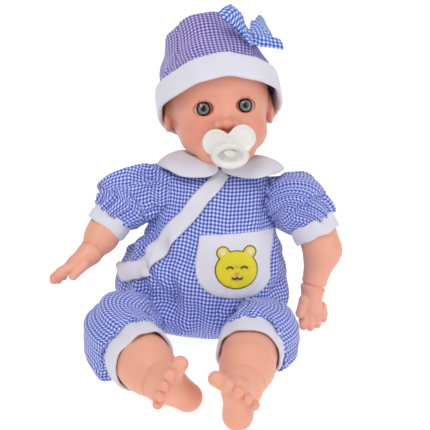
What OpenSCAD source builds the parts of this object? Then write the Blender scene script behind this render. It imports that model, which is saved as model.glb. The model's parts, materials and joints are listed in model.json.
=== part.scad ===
// Seated soft-bodied baby doll with vinyl head and limbs, a sound module in its belly,
// a removable hat and a magnetic pacifier. Millimetres, +Z up, the doll faces -Y and its
// left side is +X. The origin is on the flat seat, below the line through both hips.

/* [Posture] */
// Lean of the torso backwards, in degrees
recline = 18; // [16:1:20]
// Lean of the torso to the doll's left, in degrees
lean = 5; // [3:1:6]
// Head: tilt back, roll and turn, in degrees
head_turn = [-24, -2, 8]; // [-26:1:10]

/* [Body] */
// Height of the line through both hips above the seat
hip_z = 42; // [41:1:43]
// Radius of the stuffed bottom of the body
seat_radius = 50; // [48:1:50]
// Thickness of the romper's cloth
cloth = 1.4; // [1.2:0.1:1.8]

/* [Vinyl] */
// Wall of the vinyl head, arms and legs
vinyl_wall = 3; // [2.4:0.2:3.4]
// Radius of the neck where it turns in the casing
neck_r = 21; // [20.5:0.1:21.2]
// Radius of the eyeballs
eye_r = 9.5; // [9:0.1:9.8]

/* [Hat] */
// Width of the rolled brim
brim_w = 27; // [22:1:28]
// Thickness of the rolled brim
brim_t = 4; // [3:0.5:4.5]

/* [Pacifier] */
// Radius of the pacifier's ring handle, to the middle of its bar
ring_r = 14; // [13:0.5:15]
// Radius of the bar
ring_bar_r = 3.2; // [2.8:0.1:3.4]

/* [Sound module] */
// Half width of the module's case
case_x = 29; // [28.5:0.5:30]
// Lowest and highest point of the case along the body
case_z = [58, 100]; // [58:1:100]
// Wall of the case
case_wall = 2; // [1.6:0.1:2.2]
// Travel of the belly button
button_travel = 3; // [2:0.5:3]

/* [Hidden] */

vinyl = "peachpuff";
gingham = "cornflowerblue";
white_cloth = "whitesmoke";
calico = "linen";
grey_plastic = "lightgray";

// ---- Vectors, frames and lofted solids ----

function unit(v) = v / norm(v);
function lerp(a, b, t) = a + (b - a) * t;
function rot_x(p, a) = [p.x, p.y * cos(a) - p.z * sin(a), p.y * sin(a) + p.z * cos(a)];
function rot_y(p, a) = [p.x * cos(a) + p.z * sin(a), p.y, p.z * cos(a) - p.x * sin(a)];
body_foot = [3, 0, hip_z];
function body_dir(p) = rot_y(rot_x(p, -recline), lean);
function on_body(p) = body_foot + body_dir(p);

neck_at = [5, 0, 121];
neck_pivot = on_body(neck_at);

module in_body() translate(body_foot) rotate([-recline, lean, 0]) children();
module in_head() translate(neck_pivot) rotate(head_turn) children();
hat_centre = [0, 8, 78];
hat_tilt = -35;
module in_hat() in_head() translate(hat_centre) rotate([hat_tilt, 0, 0]) children();

// A closed surface over rings of n points; each ring runs anticlockwise seen from the next.
module skin(rings, closed = false) {
    n = len(rings[0]);
    m = len(rings);
    last = closed ? m - 1 : m - 2;
    sides = [
        for (k = [0:last], i = [0:n - 1])
            let (here = k * n, next = (k + 1) % m * n, j = (i + 1) % n)
                each [[here + i, next + i, next + j], [here + i, next + j, here + j]]
    ];
    ends = closed ? [] : [
        for (i = [1:n - 2]) each [[0, i, i + 1], [(m - 1) * n, (m - 1) * n + i + 1, (m - 1) * n + i]]
    ];
    polyhedron(points = [for (r = rings) each r], faces = concat(sides, ends), convexity = 6);
}

// A round section: centre, direction of travel, radius
function section(c, dir, r, n = 20) =
    let (t = unit(dir), u = unit(cross(abs(t.z) > 0.9 ? [0, 1, 0] : [0, 0, 1], t)), v = cross(t, u))
        [for (i = [0:n - 1]) c + r * (cos(360 * i / n) * u + sin(360 * i / n) * v)];

// A solid through stations [centre, direction, radius]
module stuffed_tube(stations) skin([for (s = stations) section(s[0], s[1], s[2])]);

// An open tube of cloth of thickness t through the same kind of stations
module cloth_tube(stations, t) {
    m = len(stations);
    outer = [for (s = stations) section(s[0], s[1], s[2])];
    inner = [for (k = [m - 1:-1:0]) section(stations[k][0], stations[k][1], stations[k][2] - t)];
    skin(concat(outer, inner), closed = true);
}

// A ring of cloth or plastic whose bar has the section w x t, round the axis dir at c
module band(c, dir, r, w, t) {
    d = unit(dir);
    translate(c) rotate([0, acos(d.z), atan2(d.y, d.x)]) rotate_extrude($fn = 48)
        translate([r - t, -w / 2]) square([t, w]);
}

module capsule(a, b, ra, rb, fn = 10) hull() {
    translate(a) sphere(ra, $fn = fn);
    translate(b) sphere(rb, $fn = fn);
}

module chain(points, radii, fn = 12) {
    for (i = [0:len(points) - 2]) capsule(points[i], points[i + 1], radii[i], radii[i + 1], fn);
}

module ellipsoid(c, r, fn = 20) translate(c) scale(r) sphere(1, $fn = fn);

// Outline of a w x h plate with round corners, centred
function rounded(w, h, r) = [
    for (q = [0:3], i = [0:4])
        let (a = 90 * q + 22.5 * i, s = [q == 0 || q == 3 ? 1 : -1, q < 2 ? 1 : -1])
            [s.x * (w / 2 - r) + r * cos(a), s.y * (h / 2 - r) + r * sin(a)]
];

// A plate in the body's XZ plane, from y0 to y1
module plate(w, z0, z1, y0, y1, r) translate([0, y1, (z0 + z1) / 2]) rotate([90, 0, 0])
    linear_extrude(y1 - y0) polygon(rounded(w, z1 - z0, r));

// A rod along the body's Y axis, from y0 to y1
module rod(x, z, y0, y1, r) translate([x, y1, z]) rotate([90, 0, 0]) cylinder(h = y1 - y0, r = r, $fn = 32);

// ---- Torso ----

seat_left = 83;
seat_right = -88;
seat_round = 43;
torso_sides = 24;
// Height along the body, half width, depth in front, depth behind
torso_sections = [
    [36, 69, 52, 53], [46, 65.5, 51, 52], [58, 60, 49, 50], [72, 57.5, 46, 47], [86, 57, 43, 43],
    [98, 55.5, 39, 39], [107, 50, 34, 34], [114, 43.5, 30, 30], [118, 35, 27.5, 27.5]
];
seat_gap = 2.4;

// Radius of the stuffed seat at x: a barrel with rounded ends
function seat_r(x) =
    let (over = x > 0 ? x - (seat_left - seat_round) : (seat_right + seat_round) - x)
        over <= 0 ? seat_radius : seat_radius * sqrt(max(0, 1 - pow(over / seat_round, 2)));
function seat_top(x, y, gap) = hip_z + sqrt(max(0, pow(seat_r(x) + gap, 2) - y * y));
function torso_point(s, a, inset) =
    [(s[1] - inset) * cos(a), ((sin(a) > 0 ? s[3] : s[2]) - inset) * sin(a), s[0]];
// Rings stay above the barrel of the seat
function torso_ring(s, inset, gap) = [
    for (i = [0:torso_sides - 1])
        let (p = on_body(torso_point(s, 360 * i / torso_sides, inset)))
            [p.x, p.y, max(p.z, seat_top(p.x, p.y, gap))]
];
function saddle_ring(share, inset, gap) = [
    for (i = [0:torso_sides - 1])
        let (a = 360 * i / torso_sides)
            let (x = share * (67 - inset) * cos(a), y = share * (49.5 - inset) * sin(a))
                [x, y, seat_top(x, y, gap)]
];
function torso_rings(inset, gap, first = 0, last = 8) =
    [for (k = [first:last]) torso_ring(torso_sections[k], inset, gap + 0.7 * (k + 1))];

bag_inset = 5;
bag_t = 1.4;

module torso_bag() {
    outer = torso_rings(bag_inset, 2.2, 2, 6);
    inner = torso_rings(bag_inset + bag_t, 3.6, 2, 6);
    outer_base = [for (share = [0.03, 0.5, 0.8, 1]) saddle_ring(share, bag_inset + 9, 2.2)];
    inner_base = [for (share = [1, 0.8, 0.5, 0.03]) saddle_ring(share, bag_inset + 9 + bag_t, 3.6)];
    color(calico) skin(concat(outer_base, outer, [for (k = [4:-1:0]) inner[k]], inner_base));
}

module torso_stuffing() {
    inset = bag_inset + bag_t + 3;
    base = [for (share = [0.03, 0.5, 0.8, 1]) saddle_ring(share, inset + 10, 5)];
    color("snow") difference() {
        skin(concat(base, torso_rings(inset, 5, 2, 5)));
        in_body() translate([-case_x - 1, -14, 20]) cube([2 * case_x + 2, 90, 90]);
    }
}

module romper_bodice() {
    outer = concat([saddle_ring(1, 0, seat_gap)], torso_rings(0, seat_gap));
    inner = concat([saddle_ring(1, cloth, seat_gap)], torso_rings(cloth, seat_gap));
    color(gingham) skin(concat(outer, [for (k = [len(inner) - 1:-1:0]) inner[k]]), closed = true);
}

module romper_seat() {
    function end_arc(x, side) = [
        for (i = [0:8])
            [seat_radius * cos(11.25 * i), x - side * seat_round * (1 - sin(11.25 * i))]
    ];
    left_end = end_arc(seat_left, 1);
    right_arc = end_arc(seat_right, -1);
    right_end = [for (i = [8:-1:0]) right_arc[i]];
    color(gingham) intersection() {
        translate([0, 0, hip_z]) rotate([0, 90, 0]) rotate_extrude($fn = 64)
            polygon(concat(right_end, left_end));
        translate([-100, -60, 0]) cube([200, 120, 100]);
    }
}

// Depth in front and half width of the torso at height z along the body
front_depth = [for (s = torso_sections) [s[0], s[2]]];
front_half = [for (s = torso_sections) [s[0], s[1]]];
function bodice_front(x, z) =
    lookup(z, front_depth) * sqrt(max(0, 1 - pow(x / lookup(z, front_half), 2)));
function seat_front(x, z) = sqrt(max(0, pow(seat_r(x + body_foot.x) + 1.4, 2) - z * z));
// The point p moved away from the line through both hips until it is r from it
function clear_of_seat(p, r) =
    let (k = max(1, r / norm([p.y, p.z - hip_z])))
        [p.x, k * p.y, hip_z + k * (p.z - hip_z)];
function slope_front(x, z) = lerp(seat_front(x, 0), bodice_front(x, 36), z / 36);
// A point of the front: the bodice above, the barrel of the seat below, a slope between
function front_point(x, z, out) =
    let (y = z > 36 ? bodice_front(x, z) : z < 0 ? seat_front(x, z) : slope_front(x, z))
        let (p = on_body([x, -y - out, z]))
            clear_of_seat(p, seat_r(p.x) + out + 0.8);

collar_t = 2.4;
collar_steps = 14;
// Height of the collar's neck edge in front, and its rise at the sides
collar_z = 118.4;
collar_rise = 0.6;

// Half a collar from the front opening at angle a0 to the back at a1, in the body's frame
module collar_half(a0, a1, reach) {
    function spread(t) = min(1, 0.45 + 2.6 * min(t, 1 - t));
    function rise(a) = collar_rise * pow(cos(a), 2);
    function neckline(a) = [33 * cos(a), 29 * sin(a), collar_z + rise(a)];
    function hem(a) = [reach * cos(a), 44 * sin(a), 103.6 + 8 * pow(cos(a), 2)];
    function rim(a, t) = lerp(neckline(a), hem(a), spread(t));
    in_body() skin([
        for (k = [0:collar_steps])
            let (t = k / collar_steps, a = lerp(a0, a1, t))
                let (inner = neckline(a), outer = rim(a, t), up = [0, 0, collar_t])
                    [outer + up, outer, inner, inner + up]
    ]);
}

module collar_right() color(white_cloth) collar_half(92, 262, 55.5);
module collar_left() color(white_cloth) collar_half(-82, 88, 58);

strap_t = 1.2;

// A flat strip on the front of the romper between two points [x, z], of width w, out of the cloth
module front_strip(a, b, w, steps, out) {
    side = [-(b - a).y, (b - a).x] / norm(b - a) * w / 2;
    skin([
        for (k = [0:steps])
            let (c = lerp(a, b, k / steps), p = c + side, q = c - side)
                [front_point(q.x, q.y, out + strap_t), front_point(q.x, q.y, out),
                    front_point(p.x, p.y, out), front_point(p.x, p.y, out + strap_t)]
    ]);
}

module placket() color(white_cloth) front_strip([3, 115], [-58, 28], 12, 14, 3.2);

// A patch on the front: columns from x0 to x1, its lower edge rounded below z_low
module front_patch(x0, x1, z_top, z_low, out, t, slant) {
    steps = 10;
    columns = [
        for (k = [0:steps])
            let (u = 2 * k / steps - 1, x = lerp(x0, x1, k / steps))
                let (low = lerp(z_low + 30, z_low, sqrt(max(0, 1 - u * u))))
                    [for (j = [0:4]) [x, lerp(z_top + slant * k / steps, low, j / 4)]]
    ];
    skin([
        for (col = columns) concat([for (p = col) front_point(p.x, p.y, out + t)],
            [for (j = [4:-1:0]) front_point(col[j].x, col[j].y, out)])
    ]);
}

module pocket() color(white_cloth) front_patch(-11, 48.5, 60, -3, 1, 1, 4);

bear_centre = [22, 32];
bear_r = 18;
bear_out = 3;
bear_t = 1;

module bear_patch() {
    function disc(r, out) = [
        for (i = [0:15])
            let (p = bear_centre + r * [cos(22.5 * i), sin(22.5 * i)]) front_point(p.x, p.y, out)
    ];
    shares = [0.03, 0.35, 0.7, 1];
    back = [for (share = shares) disc(share * bear_r, bear_out)];
    front = [for (k = [3:-1:0]) disc(shares[k] * bear_r, bear_out + bear_t)];
    color("gold") skin(concat(back, front));
}

// ---- Sound module, in the body's frame ----

case_front = -6;
case_split = 8;
case_back = 22;
boss_x = case_x - 3.8;
boss_z = [case_z[0] + 5, case_z[1] - 5];
button_at_z = 68;
button_r = 7;
switch_z = 63.4;
cell_r = 5.1;
cell_x = 22;
cell_y = 14;
cell_z = [69.5, 79.9, 90.3];
door_z = [66, 98];
speaker_z = 86.6;
speaker_r = 11;

module at_bosses() for (x = [-boss_x, boss_x], z = boss_z) translate([x, 0, z]) children();

module module_front_case() color(grey_plastic) in_body() difference() {
    union() {
        difference() {
            plate(2 * case_x, case_z[0], case_z[1], case_front, case_split, 5);
            plate(2 * (case_x - case_wall), case_z[0] + case_wall, case_z[1] - case_wall,
                case_front + case_wall, case_split + 1, 3);
        }
        at_bosses() rod(0, 0, case_front + 1, case_split, 3.2);
    }
    at_bosses() rod(0, 0, case_front + 3, case_split + 1, 1.5);
    rod(0, button_at_z, case_front - 1, case_front + 3, button_r + 0.4);
    for (a = [0:60:300]) rod(6 * cos(a), speaker_z + 6 * sin(a), case_front - 1, case_front + 3, 1.3);
}

module module_rear_case() color(grey_plastic) in_body() difference() {
    union() {
        difference() {
            plate(2 * case_x, case_z[0], case_z[1], case_split, case_back, 5);
            plate(2 * (case_x - case_wall), case_z[0] + case_wall, case_z[1] - case_wall,
                case_split - 1, case_back - case_wall, 3);
        }
        at_bosses() rod(0, 0, case_split, case_back - 1, 3.2);
    }
    at_bosses() rod(0, 0, case_split - 1, case_back + 1, 1.5);
    plate(40, door_z[0] + 4, door_z[1] - 6, case_back - 3, case_back + 1, 2);
    rod(0, door_z[1] - 3, case_back - 3, case_back + 1, 1.3);
    translate([-9, case_back - 3, switch_z - 2]) cube([18, 4, 4]);
}

module battery_door() color(grey_plastic) in_body() difference() {
    plate(44, door_z[0], door_z[1], case_back, case_back + 2, 3);
    rod(0, door_z[1] - 3, case_back - 1, case_back + 3, 1.3);
}

module battery_door_screw() color("silver") in_body() {
    rod(0, door_z[1] - 3, case_back - 2, case_back + 2, 1.2);
    rod(0, door_z[1] - 3, case_back + 2, case_back + 3.4, 2.4);
}

module case_screws() color("silver") in_body() at_bosses() {
    rod(0, 0, case_front + 4, case_back, 1.4);
    rod(0, 0, case_back, case_back + 1.4, 2.6);
}

module cell() {
    cylinder(h = 2 * cell_x - 1, r = cell_r, $fn = 32);
    translate([0, 0, 2 * cell_x - 1]) cylinder(h = 1, r = 1.8, $fn = 32);
}

module batteries() color("dimgray") in_body() for (z = cell_z)
    translate([-cell_x, cell_y, z]) rotate([0, 90, 0]) cell();

module battery_contacts() color("silver") in_body() for (x = [-cell_x - 0.6, cell_x])
    translate([x, cell_y - 4, cell_z[0] - 3.5]) cube([0.6, 8, cell_z[2] - cell_z[0] + 5.5]);

module speaker() color("darkslategray") in_body() {
    rod(0, speaker_z, case_front + case_wall, 0, speaker_r);
    rod(0, speaker_z, 0, 5, 8);
}

module circuit_board() color("seagreen") in_body() {
    translate([-19, 1, 60.5]) cube([38, 1.6, 17.5]);
    translate([-6, 2.6, 61]) cube([12, 1.4, 8]);
    translate([-15, 2.6, 70]) cube([5, 2, 5]);
}

module belly_button() color("tomato") in_body() {
    rod(0, button_at_z, case_front - 5, case_front + 1, button_r);
    rod(0, button_at_z, case_front + 1, 1 - button_travel - 0.4, 3);
}

module power_switch() color("black") in_body() {
    translate([-6.5, case_back - 3.6, switch_z - 2.8]) cube([9, 1.4, 5.6]);
    translate([-5, case_back - 2.2, switch_z - 1.6]) cube([5, 4, 3.2]);
}

// ---- Neck and head, in the head's frame ----

groove_r = 17.5;
groove_z = [-9, -2];

module neck_casing() color(calico) in_head() translate([0, 0, -8.5]) difference() {
    cylinder(h = 6, r = 20.4, $fn = 64);
    translate([0, 0, -1]) cylinder(h = 8, r = groove_r + 0.4, $fn = 64);
}

module neck_tie() color("white") in_head() {
    translate([0, 0, -7]) difference() {
        cylinder(h = 3, r = 22.4, $fn = 64);
        translate([0, 0, -1]) cylinder(h = 5, r = 20.5, $fn = 64);
    }
    translate([-3, 21.6, -7.5]) cube([6, 2.6, 4]);
}

eye_at = [19.7, -36, 53];
mouth_at = [0, -50, 17.5];
ear_at = [49.5, 6, 53];
nose_tip = [0, -52, 37];

module head_form(inset) hull() {
    ellipsoid([0, 8, 78], [49 - inset, 56 - inset, 49 - inset]);
    ellipsoid([0, -10, 56], [45 - inset, 42 - inset, 38 - inset]);
    for (x = [-20, 20]) ellipsoid([x, -16, 32], [24.5 - inset, 26 - inset, 21.5 - inset], 16);
    ellipsoid([0, -30, 15], [26 - inset, 17 - inset, 14 - inset], 16);
    ellipsoid([0, 6.5, 40], [40 - inset, 40 - inset, 30 - inset], 16);
}

module head_shell() color(vinyl) in_head() difference() {
    union() {
        head_form(0);
        hull() {
            ellipsoid(nose_tip, [6.5, 4.5, 4.5], 12);
            ellipsoid([0, -48, 50], [3, 4, 4], 12);
        }
        for (side = [-1, 1]) hull() {
            ellipsoid([side * (ear_at.x - 2), ear_at.y, ear_at.z + 4], [4.5, 9, 10], 12);
            ellipsoid([side * (ear_at.x - 3), ear_at.y - 2, ear_at.z - 7], [4, 6, 6], 12);
        }
        translate([0, 0, groove_z[1]]) cylinder(h = 22, r = neck_r, $fn = 64);
        translate([0, 0, groove_z[0] - 1]) cylinder(h = 9, r = groove_r, $fn = 64);
        translate([0, 0, groove_z[0] - 4]) cylinder(h = 4, r = neck_r + 1, $fn = 64);
    }
    head_form(vinyl_wall);
    translate([0, 0, groove_z[0] - 5]) cylinder(h = 30, r = groove_r - 2.5, $fn = 64);
    for (side = [-1, 1]) translate([side * eye_at.x, -20, eye_at.z]) rotate([90, 0, 0])
        cylinder(h = 60, r = eye_r + 0.3, $fn = 48);
    translate([0, -20, mouth_at.z]) rotate([90, 0, 0]) cylinder(h = 60, r = 8, $fn = 48);
}

module eyeball(side) translate([side * eye_at.x, eye_at.y, eye_at.z]) difference() {
    sphere(eye_r, $fn = 96);
    translate([0, -7, 0]) rotate([90, 0, 0]) cylinder(h = 5, r = 6.4, $fn = 48);
}

module iris(side) translate([side * eye_at.x, eye_at.y - 7, eye_at.z]) rotate([90, 0, 0])
    cylinder(h = 0.8, r = 6.2, $fn = 48);

module right_eyeball() color("white") in_head() eyeball(-1);
module left_eyeball() color("white") in_head() eyeball(1);
module right_iris() color("slategray") in_head() iris(-1);
module left_iris() color("slategray") in_head() iris(1);

// A clear dome over the iris, turned round the eye's axis
module lens_cap() {
    r = eye_r + 0.2;
    low = 7.9;
    rim = acos(low / r);
    arc = [for (i = [8:-1:0]) r * [sin(rim * i / 8), cos(rim * i / 8)]];
    rotate_extrude($fn = 96) polygon(concat([[0, low]], arc));
}

module eye_lenses() color("lightcyan") in_head() for (side = [-1, 1])
    translate([side * eye_at.x, eye_at.y, eye_at.z]) rotate([90, 0, 0]) lens_cap();

module eye_cups() color(grey_plastic) in_head() for (side = [-1, 1])
    translate([side * eye_at.x, eye_at.y, eye_at.z]) difference() {
        rotate([-90, 0, 0]) cylinder(h = 11, r = eye_r + 1.8, $fn = 48);
        sphere(eye_r + 0.1, $fn = 48);
        rotate([90, 0, 0]) cylinder(h = 20, r = eye_r + 0.1, $fn = 48);
    }

socket_r = 7.8;

module mouth_socket() color(vinyl) in_head() difference() {
    rod(0, mouth_at.z, -47, -30, socket_r);
    rod(0, mouth_at.z, -50, -31.4, socket_r - 1.2);
}

module reed_switch() color("seagreen") in_head()
    translate([-7, -28.4, mouth_at.z]) rotate([0, 90, 0]) cylinder(h = 14, r = 1.4, $fn = 24);

// ---- Hat, in the hat's frame ----

// Height, half width, half depth, rise of the ring from the forehead to the nape
crown_sections = [
    [-14.4, 56.5, 60.5, 20], [0, 54.5, 59, 13], [18, 51.5, 56, 5], [36, 49, 53, 0],
    [48, 46, 49.5, 0], [54, 42.5, 45.5, 0], [58, 36, 38.5, 0], [60, 24, 26, 0], [61, 12, 13, 0],
    [61.4, 2, 2, 0]
];
crown_t = 1.3;
hat_sides = 24;
function hat_ring(s, grow = 0, drop = 0) = [
    for (i = [0:hat_sides - 1])
        let (a = 360 * i / hat_sides, z = s[0] - drop + s[3] * (1 + sin(a)) / 2)
            [(s[1] + grow) * cos(a), (s[2] + grow) * sin(a), z]
];

module hat_crown() {
    outer = [for (s = crown_sections) hat_ring(s)];
    inner = [for (s = crown_sections) hat_ring(s, -crown_t, s[0] > 50 ? crown_t : 0)];
    color(gingham) in_hat() skin(concat([for (k = [len(inner) - 1:-1:0]) inner[k]], outer));
}

brim_top = -15;

module hat_band() {
    low = brim_top - brim_w;
    stations = [
        [brim_top, 56.4, 60.4, 20], [low, 56, 60, 24], [low - 0.4, 57.8, 61.8, 24],
        [low + 0.6, 55.7 + brim_t, 59.7 + brim_t, 24],
        [brim_top - 11.4, 56.8 + brim_t, 60.8 + brim_t, 22],
        [brim_top - 2.4, 56.3 + brim_t, 60.3 + brim_t, 20.4], [brim_top, 54.8 + brim_t, 58.8 + brim_t, 20]
    ];
    color(white_cloth) in_hat() skin([for (s = stations) hat_ring(s)], closed = true);
}

bow_at = [28, -57.4, 8];
bow_turn = [0, 10, 38];
module in_bow() in_hat() translate(bow_at) rotate(bow_turn) children();

module bow_loops() color(gingham) in_bow() {
    hull() {
        ellipsoid([-8.4, 0, 2], [2.4, 3.5, 4], 12);
        ellipsoid([-24, 0, 14], [7, 5, 11], 12);
    }
    hull() {
        ellipsoid([5.6, 0, 7.4], [2.5, 3.5, 2.5], 12);
        ellipsoid([16, 0, 16], [10, 4.5, 4], 12);
        ellipsoid([17, 0, 31], [3, 3.5, 6], 12);
    }
}

module bow_tails() color(gingham) in_bow() {
    hull() {
        ellipsoid([8.8, 0, -1.5], [2.5, 2.5, 3], 12);
        ellipsoid([35, -8, 6], [4, 2, 6], 12);
    }
    hull() {
        ellipsoid([1.6, -1, -8.2], [2.5, 2.5, 2], 12);
        ellipsoid([6, -3, -14], [5, 2, 3], 12);
    }
}

module bow_knot() color(gingham) in_bow() difference() {
    ellipsoid([0, -0.5, 0], [5.5, 6, 5], 16);
    translate([-20, 7, -20]) cube([40, 20, 40]);
}

// ---- Pacifier, in the head's frame; it pulls straight out along -Y ----

shield_y = -59;
shield_t = 2.2;
shield_z = mouth_at.z;
knob_r = 6.8;
knob_at = [-1, mouth_at.z - 5];
ring_centre = [-3, shield_y - 17, shield_z - 10.5];
ring_tilt = [39, 4, -6];

module pacifier_ring_form(extra) translate(ring_centre) rotate(ring_tilt)
    rotate_extrude($fn = 48) translate([ring_r, 0]) circle(ring_bar_r + extra, $fn = 24);

// The shield's outline: two lobes that run together below, leaning shield_roll degrees
shield_roll = 5;
lobe_at = [12.5, 4];
lobe_r = 12.3;
foot_at = [0, -12];
foot_r = 8;

module shield_outline() rotate(shield_roll) {
    lean_out = atan2(lobe_at.y - foot_at.y, lobe_at.x) - acos((lobe_r - foot_r) / norm(lobe_at - foot_at));
    out = [cos(lean_out), sin(lean_out)];
    flank = [lobe_at + lobe_r * out, foot_at + foot_r * out];
    for (side = [-1, 1]) translate([side * lobe_at.x, lobe_at.y]) circle(lobe_r, $fn = 48);
    translate(foot_at) circle(foot_r, $fn = 32);
    polygon([
        flank[0], flank[1], [-flank[1].x, flank[1].y], [-flank[0].x, flank[0].y], [-lobe_at.x, 9], [0, 9],
        [lobe_at.x, 9]
    ]);
}

module pacifier_shield() color("ivory") in_head() difference() {
    union() {
        translate([0, shield_y, shield_z]) rotate([90, 0, 0]) linear_extrude(shield_t) shield_outline();
        rod(knob_at.x, knob_at.y, shield_y - 9, shield_y, knob_r);
    }
    rod(0, shield_z, shield_y - 2.1, shield_y + 1, 4.6);
    pacifier_ring_form(0.15);
}

module pacifier_nipple() color("ivory") in_head() {
    rod(0, shield_z, shield_y - 0.2, shield_y + 12, 4.4);
    translate([0, shield_y + 15, shield_z]) sphere(5.6, $fn = 32);
}

module pacifier_ring() color("ivory") in_head() pacifier_ring_form(0);

module pacifier_magnet() color("silver") in_head() rod(0, shield_z, shield_y - 2, shield_y - 0.2, 4.2);

// ---- Arms ----

shoulder_x = 59.5;
shoulder_z = 88;
function shoulder(side, out) = on_body([side * (shoulder_x + out), 0, shoulder_z]);

right_cuff = [-90, 4, 112];
right_cuff_dir = unit([-0.6, -0.35, -0.72]);
left_cuff = [104, 2, 107];
left_cuff_dir = unit([0.44, -0.3, -0.85]);
arm_cuff_w = 15;
arm_tie_back = 13;

// Stations of the sleeve, from the shoulder to the cuff
function sleeve(side, c, dir, puff) = [
    [shoulder(side, 0), body_dir([side, 0, 0]), 23.5],
    [puff, unit(c - shoulder(side, 0)) + 0.4 * [side, 0, 0], 28],
    [lerp(puff, c - 9 * dir, 0.6), unit(dir + 0.8 * unit(c - shoulder(side, 0))), 25],
    [c - 8 * dir, dir, 19.5]
];
// Stations of the stuffed upper arm inside the sleeve, to the tie
function upper_arm(side, c, dir, puff) = [
    [shoulder(side, 0.8), body_dir([side, 0, 0]), 19],
    [puff, unit(c - shoulder(side, 0)) + 0.4 * [side, 0, 0], 18],
    [c - (arm_tie_back + 3) * dir, dir, 12],
    [c - (arm_tie_back - 3) * dir, dir, 9.4]
];

right_puff = [-73, 19, 127];
left_puff = [86, 16, 121];

module right_sleeve() color(gingham)
    cloth_tube(sleeve(-1, right_cuff, right_cuff_dir, right_puff), cloth);
module left_sleeve() color(gingham)
    cloth_tube(sleeve(1, left_cuff, left_cuff_dir, left_puff), cloth);
module right_upper_arm() color(calico)
    stuffed_tube(upper_arm(-1, right_cuff, right_cuff_dir, right_puff));
module left_upper_arm() color(calico)
    stuffed_tube(upper_arm(1, left_cuff, left_cuff_dir, left_puff));
module right_sleeve_cuff() color(white_cloth) band(right_cuff, right_cuff_dir, 20.6, arm_cuff_w, 2.2);
module left_sleeve_cuff() color(white_cloth) band(left_cuff, left_cuff_dir, 21.6, arm_cuff_w, 2.2);
module right_arm_tie() color("white")
    band(right_cuff - arm_tie_back * right_cuff_dir, right_cuff_dir, 13.4, 3, 1.3);
module left_arm_tie() color("white")
    band(left_cuff - arm_tie_back * left_cuff_dir, left_cuff_dir, 13.4, 3, 1.3);

right_wrist = [-107, -30, 96];
right_palm = [-119, -41, 89];
left_wrist = [103.4, -14, 52];
left_palm = [102, -19, 33.7];

// The hand: a palm and curled fingers, each [knuckle, tip], and a thumb
module hand(wrist, palm, fingers, thumb) {
    capsule(wrist, palm, 10.5, 10, 12);
    for (f = fingers) capsule(f[0], f[1], 5, 4.2);
    capsule(thumb[0], thumb[1], 5, 4.2);
}

// A vinyl forearm from the tie to the wrist, hollow and open at the tie
module forearm(c, dir, elbow, wrist, r, fingers, palm, thumb) {
    start = c - (arm_tie_back - 4) * dir;
    difference() {
        union() {
            chain([start, c + 5 * dir, elbow, wrist], [r, r, r - 0.6, 10.8]);
            hand(wrist, palm, fingers, thumb);
        }
        chain([start - 6 * dir, c + 5 * dir, elbow, lerp(elbow, wrist, 0.8)],
            [r - vinyl_wall, r - vinyl_wall, r - 0.6 - vinyl_wall, 8.4]);
        translate(start) rotate([0, acos(dir.z), atan2(dir.y, dir.x)]) translate([-30, -30, -40])
            cube([60, 60, 40]);
    }
}

module right_arm() color(vinyl) forearm(right_cuff, right_cuff_dir, [-98, -8, 102], right_wrist, 14.8,
    [[[-121, -49, 91], [-139, -57, 84]], [[-125, -44, 88], [-140, -50, 78]],
        [[-127, -39, 85], [-137, -42, 74]], [[-126, -34, 83], [-133, -35, 74]]],
    right_palm, [[-112, -46, 92], [-121, -57, 86]]);

module left_arm() color(vinyl) forearm(left_cuff, left_cuff_dir, [112, -4, 86], left_wrist, 17,
    [[[95, -22, 27], [95, -24, 14.5]], [[101, -20, 26], [101.5, -22, 12.5]],
        [[107, -18, 27], [108, -19, 14]], [[111.5, -15, 30], [113.5, -15, 18]]],
    left_palm, [[95, -22, 40], [91, -28, 30]]);

// ---- Legs ----

tube_gap = 3;
right_trouser_end = [-60, -108, 30.6];
right_shin = unit([0.515, -0.857, -0.02]);
left_trouser_end = [42, -99, 32.5];
left_shin = unit([-0.176, -0.981, -0.075]);
trouser_cuff_r = 30;
trouser_cuff_w = 20;
leg_tie_back = 16;

// The trouser's first ring lies on a cylinder round the hip line, so the leg can swing
function hip_ring(c, r, t, n = 20) = [
    for (i = [0:n - 1])
        let (x = c.x - (r - t) * sin(360 * i / n), z = c.z + (r - t) * 0.94 * cos(360 * i / n))
            [x, -sqrt(pow(seat_radius + tube_gap, 2) - pow(z - hip_z, 2)), z]
];
function leg_ring(s, t, n = 20) =
    let (d = unit(s[1]), across = unit(cross(d, [1, 0, 0])), v = across * sign(across.z), u = cross(d, v))
        [for (i = [0:n - 1]) s[0] + (s[2] - t) * (sin(360 * i / n) * u + cos(360 * i / n) * v)];

module trouser(hip, stations) {
    m = len(stations);
    outer = concat([hip_ring(hip[0], hip[1], 0)], [for (s = stations) leg_ring(s, 0)]);
    lining = [for (k = [m - 1:-1:0]) leg_ring(stations[k], cloth)];
    inner = concat(lining, [hip_ring(hip[0], hip[1], cloth)]);
    skin(concat(outer, inner), closed = true);
}

right_hip = [[-68, 0, 33], 31];
right_leg_path = [
    [[-76, -68, 35], [-0.2, -1, 0], 34.5],
    [[-77, -84, 35], [0.2, -1, 0], 34.5],
    [right_trouser_end - 11 * right_shin, right_shin, 30.5]
];
left_hip = [[50, 0, 30], 27.5];
left_leg_path = [
    [[54, -62, 31.5], [0, -1, 0], 31],
    [[54, -76, 33], [-0.1, -1, 0], 32],
    [left_trouser_end - 11 * left_shin, left_shin, 30]
];

module right_trouser_leg() color(gingham) trouser(right_hip, right_leg_path);
module left_trouser_leg() color(gingham) trouser(left_hip, left_leg_path);
module right_trouser_cuff() color(white_cloth)
    band(right_trouser_end, right_shin, trouser_cuff_r, trouser_cuff_w, 2.6);
module left_trouser_cuff() color(white_cloth)
    band(left_trouser_end, left_shin, trouser_cuff_r, trouser_cuff_w, 2.6);

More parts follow.
